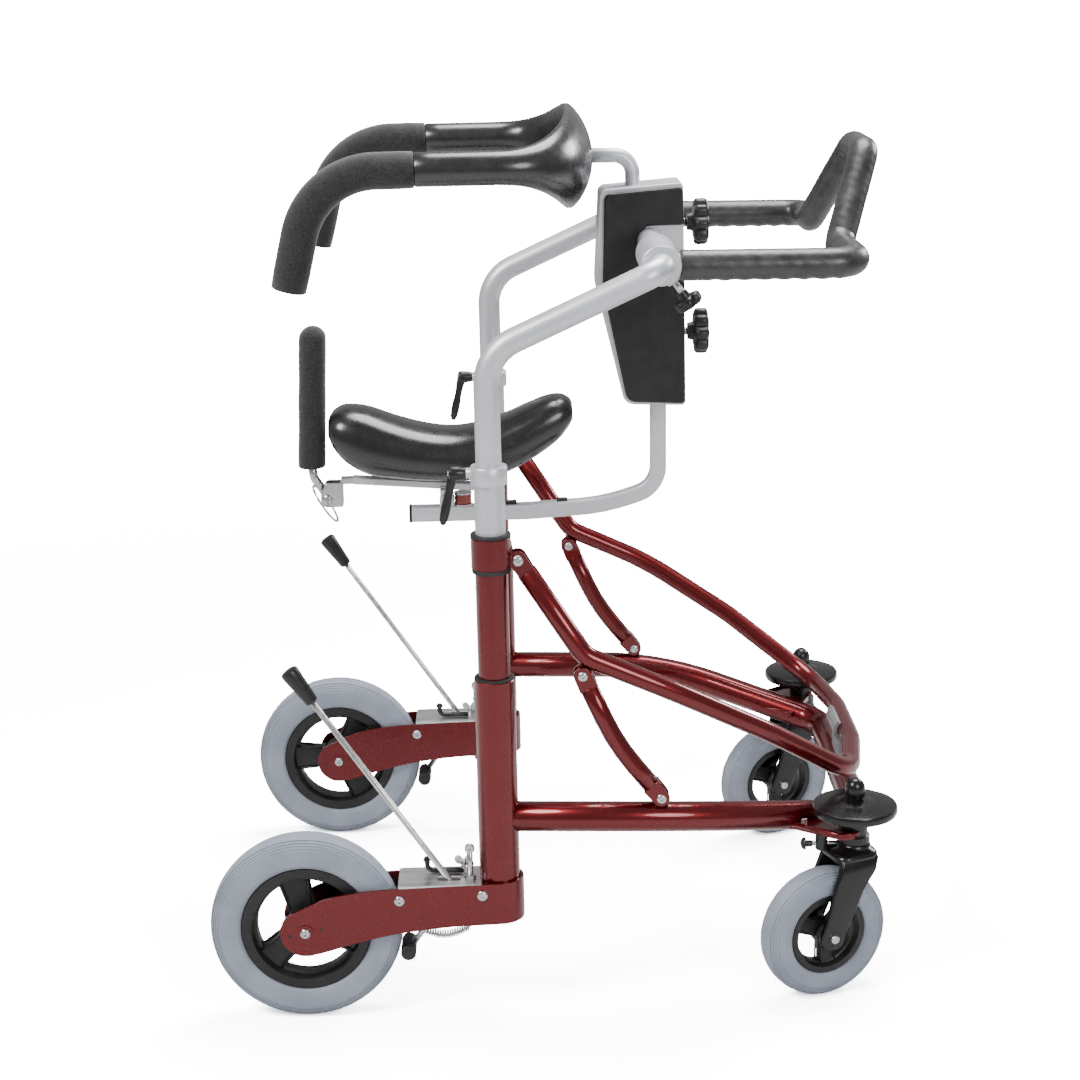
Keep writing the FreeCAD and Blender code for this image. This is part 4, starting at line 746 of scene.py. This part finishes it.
def link(side, s):
    body = "link_" + side
    knee, foot = at(KNEE[0], -TRACK * s, KNEE[2]), at(FOOT[0], -TRACK * s, FOOT[2])
    elbow = at(404.5, -TRACK * s, 361)
    first, last = (elbow - knee).normalized(), (elbow - foot).normalized()
    route = rounded([knee + first * 19, elbow, foot + last * 21], [300])
    tube("link_strut_" + side, route, LINK_TUBE, RED, body, stands_for=("link_" + side,))
    clevis("link_top_" + side, knee, first, body, outer=10.6, radius=11, reach=20, foot=12.3)
    clevis("link_foot_" + side, foot, last, body, outer=10.6, radius=10.5, reach=21, foot=12)
    for i, centre in enumerate((knee, foot)):
        for k in (-1, 1):
            button_bolt("link_bolt_%s_%d_%d" % (side, i, k + 1), centre + ACROSS * k * 10.6, ACROSS * k,
                    ZINC, body, 6.8, 3.6)


# ---------------------------------------------------------------- upper frame

def sliding_tubes():
    body = "suspension"
    for side, s in SIDES:
        column = at(COLUMN, -TRACK * s, 0)
        lathe("inner_sleeve_" + side, [(TUBE_BORE, 400), (19, 400), (19, 709), (TUBE_BORE, 709)], column,
                UP, SILVER, body, stands_for=once(s, "inner_sleeves"))
        lathe("clamp_band_" + side, [(TUBE_BORE, 707), (22, 707), (23, 708.2), (23, 728.5), (22, 730),
                (17.5, 730.6), (TUBE_BORE, 730.6)], column, UP, SILVER, body,
                stands_for=once(s, "sleeve_clamps"))
        rod("clamp_boss_" + side, at(224, -TRACK * s, 721), at(238, -TRACK * s, 721), 7, SILVER, body)
        lever(side, s)


def lever(side, s):
    """Ratchet clamping lever with a tapered handle."""
    body = "clamp_lever_" + side
    y, z = -TRACK * s, 721
    lathe("lever_hub_" + side, [(0, 0), (6.4, 0), (8.6, 1.6), (9, 3.5), (9, 13), (7.8, 15.5), (7.2, 21),
            (0, 21)], at(202.5, y, z), FORWARD, BLACK, body, count=48, stands_for=("clamp_lever_" + side,))
    button_bolt("lever_screw_" + side, at(202.6, y, z), -FORWARD, ZINC, body, 4.4, 1.6, 1.8)
    start, tip = at(207.5, y, 719), at(193.2, y, 656.5)
    shape = lambda t: 6.6 - 2.2 * min(t * 2.2, 1) + 1.6 * max(0, math.sin((t - 0.35) / 0.65
            * math.pi)) * (t > 0.35)
    steps = [start + (tip - start) * (i / 24) for i in range(25)]
    tube("lever_handle_" + side, steps, lambda t: max(1.5, shape(t) * (1 - max(0, t - 0.94) * 6)), BLACK,
            body, count=28)


def upper_frame():
    body = "upper_frame"
    for side, s in SIDES:
        points = [at(COLUMN, -TRACK, 530), at(COLUMN, -TRACK, 869), at(468, -302, 966), at(468, -34, 966)]
        tube("upper_tube_" + side, mirrored(rounded(points, [60, 26]), s), UPPER_TUBE, SILVER, body, count=44,
             stands_for=once(s, "upper_tubes"))
    core = rounded_polygon([(404, 1032, 10), (514, 1040, 6), (516, 742, 6), (434, 745, 16), (397, 905, 60)])
    cover = rounded_polygon([(410, 1027, 9), (512, 1035, 5), (514, 985, 3), (462, 985, 6), (462, 946, 6),
            (514.5, 946, 3), (514.5, 746, 5), (437, 750, 14), (406, 905, 60)])
    shift = lambda outline: [(x + AXLE_X, z) for x, z in outline]
    origin = Vector((0, 0, 0))
    prism("console_block", shift(core), origin, FORWARD, UP, 72, SILVER, body, bevel=1.6,
          stands_for=("console_core",))
    for side, s in SIDES:
        prism("console_cover_" + side, shift(cover), Vector((0, -40 * s, 0)), FORWARD, UP, 8, BLACK, body,
                bevel=2.6, stands_for=once(s, "console_covers"))


def star_knob(name, base, axis, radius, lobes, thickness, stud, body, node):
    """Moulded grip with rounded lobes and a recessed face."""
    side, top, along = basis(axis)
    def ring(scale, height, inset=0.0):
        points = []
        for i in range(lobes * 12):
            a = 2 * math.pi * i / (lobes * 12)
            wave = 0.5 + 0.5 * math.cos(a * lobes)
            r = radius * (0.80 + 0.20 * wave ** 0.55) * scale - inset
            points.append(base + side * r * math.cos(a) + top * r * math.sin(a) + along * height)
        return points
    t = thickness
    rings = [ring(0.70, 0), ring(0.90, 0.8), ring(0.98, 3), ring(1.0, 6), ring(1.0, t - 6), ring(0.98, t - 3),
             ring(0.90, t - 0.8), ring(0.80, t), ring(0.62, t), ring(0.56, t - 1.6), ring(0.2, t - 1.8)]
    loft(name + "_head", rings, BLACK, body, crease=50, stands_for=(node,))
    lathe(name + "_neck", [(0, 0.2), (radius * 0.42, 0.2), (radius * 0.36, -8), (0, -8)], base, along, BLACK,
            body)
    rod(name + "_stud", base - along * stud, base, 5 if radius > 25 else 4, ZINC, body, count=24)


# ---------------------------------------------------------------- handlebar

def handlebar():
    body = "handlebar"
    corners = [at(494, -250, 963), at(713, -250, 961), at(704, -135, 967), at(748, -48, 1076)]
    points = corners + mirrored(corners[::-1], -1)
    route = rounded(points, [32, 32, 26, 26, 32, 32], 3.0)
    dense = []
    for a, b in zip(route, route[1:]):
        count = max(1, int((b - a).length / 2.5))
        dense += [a + (b - a) * (i / count) for i in range(count)]
    dense.append(route[-1])
    rings = []
    count = 48
    for centre, side, top in frames(dense):
        x = centre.x - AXLE_X
        away = min(1, max(0, (abs(centre.y) - 130) / 60))
        grip = away * (1.0 if 530 < x < 690 else 0.0)
        ring = []
        for i in range(count):
            a = 2 * math.pi * i / count
            down = max(0.0, -math.sin(a))
            wave = 0.7 * math.cos((x - 500) / 24.0 * 2 * math.pi) * down ** 1.2 * grip
            slack = 0.45 * math.sin(0.31 * centre.x + 3.0 * a) + 0.35 * math.sin(0.53 * centre.z + 0.21
                    * centre.y - 2 * a)
            r = 19.0 + wave + slack * 0.25
            ring.append(centre + side * r * math.cos(a) + top * r * math.sin(a))
        rings.append(ring)
    ends = [[c + (p - c) * 0.9 for p in ring] for c, ring in ((dense[0], rings[0]), (dense[-1], rings[-1]))]
    rings = [[p - FORWARD * 2 for p in ends[0]]] + rings + [[p - FORWARD * 2 for p in ends[1]]]
    loft("handlebar_wrap", rings, LEATHER, body, crease=60, stands_for=("handlebar",))
    seam("handlebar_seam", [c - side * 18.6 - top * 4 for c, side, top in frames(dense)][2:-2], 0.7, LEATHER,
            body)

    for side, s in SIDES:
        centre = at(468, 0, 966)
        low, high = sorted((-274 * s, -162 * s))
        lathe("clamp_sleeve_" + side, [(TUBE_BORE, low), (23.6, low), (25, low + 1.4), (25, high - 1.4),
                (23.6, high), (TUBE_BORE, high)], centre, ACROSS, SILVER, body, count=80,
                stands_for=once(s, "handlebar_clamps"))
        lathe("end_ring_" + side, [(TUBE_BORE, 0), (22, 0), (22, 0.8), (TUBE_BORE, 0.8)],
              centre + ACROSS * (-274.6 if s > 0 else 273.8), ACROSS, SILVER, body)
        rod("socket_%s" % side, at(489, -250 * s, 964), at(500, -250 * s, 963.5), 14, SILVER, body)
        way = Vector((0.56, 0, -0.828))
        rod("clamp_nut_" + side, at(480, -205 * s, 948), at(488.5, -205 * s, 935.5), 9, SILVER, body)
        star_knob("tilt_knob_" + side, at(502, -205 * s, 916), way, 19, 7, 14, 26, "tilt_knob_" + side,
                "handlebar_knob_" + side)


def seam(name, route, radius, material, body):
    """Fine raised stitch line."""
    return tube(name, route, radius, material, body, count=8, edge=0.1)


# ---------------------------------------------------------------- trunk support

def trunk_support():
    body = "trunk"
    route = rounded([at(449, 0, 900), at(449, 0, 1073), at(392, 0, 1074)], [24])
    tube("trunk_rod", route, 10, SILVER, body, stands_for=("trunk_post",))
    half, arm = 210.0, 1082.0
    stations = [(x, half, 0.0, 0.0) for x in (169.5, 172, 190, 210, 235)]
    steps = 30
    for i in range(steps + 1):
        a = math.radians(90 * i / steps)
        across, along = math.cos(a) ** 0.8, math.sin(a) ** 0.8
        if i == 0:
            heading = 0.0
        elif i == steps:
            heading = 90.0
        else:
            heading = math.degrees(math.atan2(half * math.sin(a) * across ** -0.25, 111 * math.cos(a)
                    * along ** -0.25))
        stations.append((268 + 111 * along, half * across, heading, i / steps))
    full = [(f, -y, h, share) for f, y, h, share in stations]
    full += [(f, y, 180 - h, share) for f, y, h, share in stations[::-1][1:]]
    rings = []
    count = 64
    for i, (forward, y, heading, share) in enumerate(full):
        flare = share * share * (3 - 2 * share)
        a = math.radians(heading)
        outward = Vector((math.sin(a), -math.cos(a), 0))
        centre = at(forward, y, arm - 7 * flare)
        thick, tall = 21 - 4 * flare, 21.2 + 44.8 * flare
        shrink = 0.93 if i in (0, len(full) - 1) else 1.0
        ring = []
        for k in range(count):
            t = 2 * math.pi * k / count
            u, v = math.cos(t), math.sin(t)
            bow = -15 * flare * (v * v)                 # top and bottom edges curl back to the user
            seam_line = 1 - 0.02 * math.exp(-((u * 14) ** 2)) * flare
            p = centre + outward * (u * thick * shrink + bow) + UP * (v * tall * shrink * seam_line)
            ring.append(p)
        rings.append(ring)
    pad = loft("trunk_pad_skin", rings, PAD, body, crease=70, stands_for=("trunk_pad",))
    for side, s in SIDES:
        arm_body = "trunk_arm_" + side
        points = [at(168.2, -210, 1082), at(44, -210, 1081), at(9, -210, 938)]
        route = mirrored(rounded(points, [100], 2.5), s)
        dense = [a + (b - a) * t for a, b in zip(route, route[1:]) for t in (0, 0.33, 0.66)] + [route[-1]]
        foam_bar = tube("arm_foam_" + side, dense, lambda t: 23.0 - 0.8 * (t > 0.985) - 0.5 * (t < 0.01),
                FOAM, arm_body, count=44, edge=3.0, stands_for=("trunk_arm_" + side,))
        way = (route[-1] - route[-2]).normalized()
        lathe("arm_plug_" + side, [(0, 0), (14.5, 0), (15, 0.8), (14.2, 2.8), (9, 3.6), (0, 3.8)],
              route[-1] - way * 0.5, way, SILVER, arm_body, count=48)


# ---------------------------------------------------------------- seat

def square_tube(name, route, wide, tall, corner, material, body, **options):
    rings = []
    for centre, side, top in frames(route, FORWARD):
        outline = rounded_polygon([(-wide / 2, -tall / 2, corner), (wide / 2, -tall / 2, corner),
                (wide / 2, tall / 2, corner), (-wide / 2, tall / 2, corner)], 4)
        rings.append([centre + side * u + top * v for u, v in outline])
    return loft(name, rings, material, body, crease=50, **options)


def seat():
    body = "seat_beam"
    route = rounded([at(482, 0, 930), at(480, 0, 622), at(405, 0, 598), at(300, 0, 592), at(141, 0, 592)],
            [40, 250, 300], 3)
    square_tube("seat_beam_tube", route, 20, 22, 4, SILVER, body, stands_for=("seat_post",))
    block("beam_cap", at(139.5, 0, 592), ACROSS, UP, 21, 23, 4, BLACK, body, corner=4)
    for i, x in enumerate((278, 348)):
        top = 604.2 if x == 278 else 606.2
        block("beam_plug_%d" % i, at(x, 0, top), FORWARD, UP, 15, 5, 13, BLACK, body, bevel=1.2)
    block("mount_block", at(190, 0, 609), FORWARD, UP, 20, 12, 20, SILVER, body, stands_for=("saddle_mount",))
    lathe("mount_barrel", [(4.1, -10), (7, -10), (7, 10), (4.1, 10)], at(190, 0, 617), ACROSS, SILVER, body)
    lathe("bumper_rubber", [(0, 605), (10.6, 605), (11.6, 606), (11.6, 618), (10.6, 619), (0, 619)],
            at(212, 0, 0), UP, URETHANE, body, stands_for=("saddle_bumper",))
    for z in (603, 619):
        lathe("bumper_washer_%d" % z, [(0, 0), (12.5, 0), (12.5, 1.8), (0, 1.8)], at(212, 0, z), UP, ZINC,
                body)

    body = "saddle"
    start, end = at(62, 0, 642), at(228, 0, 629)
    run = (end - start).normalized()
    block("rail_bar", (start + end) / 2, run, run.cross(-ACROSS), (end - start).length, 10, 18, SILVER, body,
            bevel=1.4, stands_for=("saddle_rail",))
    for k in (-1, 1):
        cheek = rounded_polygon([(-9, -8, 7), (9, -8, 7), (9, 14, 2), (-9, 14, 2)])
        prism("rail_cheek_%d" % (k + 1), cheek, at(190, 12.5 * k, 617), FORWARD, UP, 4, ZINC, body)
        button_bolt("rail_bolt_%d" % (k + 1), at(190, 14.5 * k, 617), ACROSS * k, ZINC, body, 6.5, 3.2)
        bracket = rounded_polygon([(-9, -11, 8), (18, -11, 2), (18, 23, 2), (-2, 23, 6), (-9, 8, 6)])
        prism("bracket_cheek_%d" % (k + 1), bracket, at(27, 9.5 * k, 617), FORWARD, UP, 3, ZINC, body)
        button_bolt("bracket_bolt_%d" % (k + 1), at(27, 11 * k, 617), ACROSS * k, ZINC, body, 7, 3.4)
    block("rail_bridge", at(190, 0, 629.5), FORWARD, UP, 18, 5, 29, ZINC, body)
    block("bracket_back", at(46, 0, 623), FORWARD, UP, 4, 34, 22, ZINC, body)
    block("bracket_neck", at(56, 0, 641.5), FORWARD, UP, 20, 9, 14, ZINC, body, bevel=1.2)
    rod("bracket_shaft", at(27, -12, 617), at(27, 12, 617), PIVOT_BOLT, ZINC, body, count=24)
    saddle_cushion()


SADDLE = [(34, 731, 705, 34), (40, 739, 690, 44), (55, 746, 671, 52), (85, 743, 653, 57),
        (120, 730, 647, 59), (160, 718, 643, 59), (200, 712.5, 641.5, 58), (240, 718, 643.5, 56),
        (275, 730, 652, 53.5), (305, 743, 667, 50), (330, 752.5, 683, 45.5), (348, 754, 698, 40),
        (360, 748.5, 714, 32), (364, 742, 722, 25)]


def saddle_station(x, column):
    return curve_through([(row[0], row[column]) for row in SADDLE], x)


def saddle_ring(x, count=56, swell=0.0):
    """Section of the cushion: broad rounded top, tucked sides and a flatter underside."""
    top, low, half = (saddle_station(x, c) for c in (1, 2, 3))
    middle = low + (top - low) * 0.46
    ring = []
    for k in range(count):
        t = 2 * math.pi * k / count
        u, v = math.cos(t), math.sin(t)
        power = 0.82 if v > 0 else 0.72
        y = half * math.copysign(abs(u) ** power, u)
        z = (top - middle) * abs(v) ** 0.86 if v > 0 else -(middle - low) * abs(v) ** 0.8
        ring.append(at(x, y * (1 + swell), middle + z))
    return ring


def saddle_cushion():
    body = "saddle"
    xs = [34 + (364 - 34) * (0.5 - 0.5 * math.cos(math.pi * i / 60)) for i in range(61)]
    rings = [saddle_ring(x) for x in xs]
    cushion = loft("saddle_cushion", rings, VINYL, body, crease=75, stands_for=("saddle",))
    # piped edge where the base panel meets the top cover
    for side in (-1, 1):
        line = []
        for x in xs[3:-3]:
            top, low, half = (saddle_station(x, c) for c in (1, 2, 3))
            line.append(at(x, side * (half - 2.5) * 0.985, low + (top - low) * 0.30))
        tube("saddle_piping_%d" % (side + 1), line, 1.6, VINYL, body, count=12)


def backrest():
    body = "backrest"
    hinge, base, top = at(27, 0, 617), at(7, 0, 661), at(16, 0, 838)
    way = (top - base).normalized()
    route = rounded([hinge + Vector((-3, 0, 6)), at(9, 0, 646), base + way * 4], [18])
    tube("rest_neck", route, 6, ZINC, body, stands_for=("backrest_post",))
    lathe("rest_eye", [(4.1, -7), (8, -7), (8, 7), (4.1, 7)], hinge, ACROSS, ZINC, body)
    length = (top - base).length
    profile = [(0.0, 15.5), (0.3, 17.2), (1.4, 18.2), (3, 18.5)] + [(d, 18.5 + 0.15 * math.sin(d * 0.09))
            for d in range(8, int(length) - 1, 8)]
    for a in range(0, 90, 8):
        profile.append((length + 18.3 * math.sin(math.radians(a)), 18.5 * math.cos(math.radians(a))))
    side, up, _ = basis(way)
    rings = [circle(base + way * d, side, up, max(r, 0.4), 48) for d, r in profile]
    rest = loft("rest_foam", rings, FOAM, body, crease=60, stands_for=("backrest_foam",))

    upper, lower = at(7, 0, 634), at(39, 0, 584)
    centre, run = (upper + lower) / 2, (upper - lower).normalized()
    loop = []
    for i in range(73):
        a = 2 * math.pi * i / 72
        loop.append(centre + run * 29 * math.cos(a) + ACROSS * 26 * math.sin(a))
    tube("latch_wire", loop, 1.6, ZINC, "latch", count=12, edge=0.1, stands_for=("latch_ring",))


# ---------------------------------------------------------------- everything

lower_frame()
for name, sign, rear_phase, front_phase in (("right", 1, 103, 35), ("left", -1, 60, 35)):
    brake_fittings(name, sign)
    brake(name, sign)
    rear_wheel(name, sign, rear_phase)
    caster(name, sign, front_phase)
    link(name, sign)
carriage()
bow()
sliding_tubes()
upper_frame()
star_knob("upper_star", at(529, 0, 984), FORWARD, 31, 8, 20, 69, "trunk_star", "trunk_post_knob")
star_knob("lower_star", at(529, 0, 837), FORWARD, 31, 8, 20, 35, "seat_star", "seat_post_knob")
handlebar()
trunk_support()
seat()
backrest()


# ---------------------------------------------------------------- studio

FLOOR_GAIN = 8.0      # the floor as the camera sees it, against the light it gives back


def studio():
    floor_mesh = bpy.data.meshes.new("studio_floor")
    wide = 60.0
    floor_mesh.from_pydata([(-wide, -wide, 0), (wide, -wide, 0), (wide, wide, 0), (-wide, wide, 0)], [],
            [(0, 1, 2, 3)])
    pale = Nodes("floor_white", Roughness=0.9, Specular_IOR_Level=0.0)
    pale.colour(pale.between(pale.noise(0.6), rgb(0.60, 0.60, 0.60), rgb(0.63, 0.63, 0.63)))
    seen = pale.add("BsdfDiffuse")
    seen.inputs["Color"].default_value = rgb(FLOOR_GAIN, FLOOR_GAIN, FLOOR_GAIN)
    reach, spread = pale.add("VectorMath"), pale.add("MapRange")
    reach.operation = "LENGTH"
    pale.link(pale.add("NewGeometry").outputs["Position"], reach.inputs[0])
    pale.link(reach.outputs["Value"], spread.inputs["Value"])
    for key, number in (("From Min", 1.6), ("From Max", 5.0), ("To Min", 0.0), ("To Max", 22.0)):
        spread.inputs[key].default_value = number
    haze, lit = pale.add("Emission"), pale.add("AddShader")
    pale.link(spread.outputs["Result"], haze.inputs["Strength"])
    pale.link(seen.outputs["BSDF"], lit.inputs[0])
    pale.link(haze.outputs["Emission"], lit.inputs[1])
    choice = pale.add("MixShader")
    pale.link(pale.add("LightPath").outputs["Is Camera Ray"], choice.inputs[0])
    pale.link(pale.shader.outputs["BSDF"], choice.inputs[1])
    pale.link(lit.outputs[0], choice.inputs[2])
    pale.link(choice.outputs[0], pale.tree.nodes["Material Output"].inputs["Surface"])
    floor_mesh.materials.append(pale.material)
    floor = bpy.data.objects.new("studio_floor", floor_mesh)
    bpy.context.scene.collection.objects.link(floor)

    world = bpy.data.worlds.new("studio_world")
    bpy.context.scene.world = world
    world.use_nodes = True
    tree = world.node_tree
    background = tree.nodes["Background"]
    background.inputs["Color"].default_value = rgb(1.0, 1.0, 1.0)
    background.inputs["Strength"].default_value = 0.42
    backdrop = tree.nodes.new("ShaderNodeBackground")
    backdrop.inputs["Color"].default_value = rgb(1.0, 1.0, 1.0)
    backdrop.inputs["Strength"].default_value = 15.0
    choice = tree.nodes.new("ShaderNodeMixShader")
    tree.links.new(tree.nodes.new("ShaderNodeLightPath").outputs["Is Camera Ray"], choice.inputs[0])
    tree.links.new(background.outputs[0], choice.inputs[1])
    tree.links.new(backdrop.outputs[0], choice.inputs[2])
    tree.links.new(choice.outputs[0], tree.nodes["World Output"].inputs["Surface"])

    for name, place, aim, size, power, tone in (("key", (-2.0, -1.6, 2.9), (0, 0, 0.5), 1.3, 120,
            (1.0, 0.99, 0.97)), ("top", (0.5, 0.6, 3.2), (0, 0, 0.4), 1.8, 130, (1.0, 1.0, 1.0)),
            ("rim", (2.4, 1.6, 1.9), (0, 0, 0.6), 1.0, 50, (0.97, 0.98, 1.0)),
            ("front", (1.4, -2.6, 1.7), (0.1, 0, 0.5), 1.2, 40, (1.0, 1.0, 1.0))):
        lamp = bpy.data.lights.new(name, "AREA")
        lamp.shape = "DISK"
        lamp.size = size
        lamp.energy = power
        lamp.color = tone
        holder = bpy.data.objects.new(name + "_light", lamp)
        holder.location = place
        holder.rotation_mode = "QUATERNION"
        holder.rotation_quaternion = (Vector(aim) - Vector(place)).to_track_quat("-Z", "Y")
        bpy.context.scene.collection.objects.link(holder)


def camera():
    azimuth, elevation, roll = (math.radians(a) for a in (-0.613, 15.524, 1.259))
    target, distance = Vector((-0.0066, 0, 0.5494)), 3.0354
    back = Vector((math.sin(azimuth) * math.cos(elevation), -math.cos(azimuth) * math.cos(elevation),
            math.sin(elevation)))
    right = Vector((math.cos(azimuth), math.sin(azimuth), 0))
    up = back.cross(right)
    turned_right = right * math.cos(roll) - up * math.sin(roll)
    turned_up = right * math.sin(roll) + up * math.cos(roll)
    data = bpy.data.cameras.new("camera")
    data.lens, data.sensor_width, data.sensor_fit = 73.2, 36.0, "HORIZONTAL"
    data.clip_start, data.clip_end = 0.05, 60.0
    holder = bpy.data.objects.new("camera", data)
    matrix = Matrix((turned_right, turned_up, back)).transposed().to_4x4()
    matrix.translation = target + back * distance
    holder.matrix_world = matrix
    bpy.context.scene.collection.objects.link(holder)
    bpy.context.scene.camera = holder


studio()
camera()
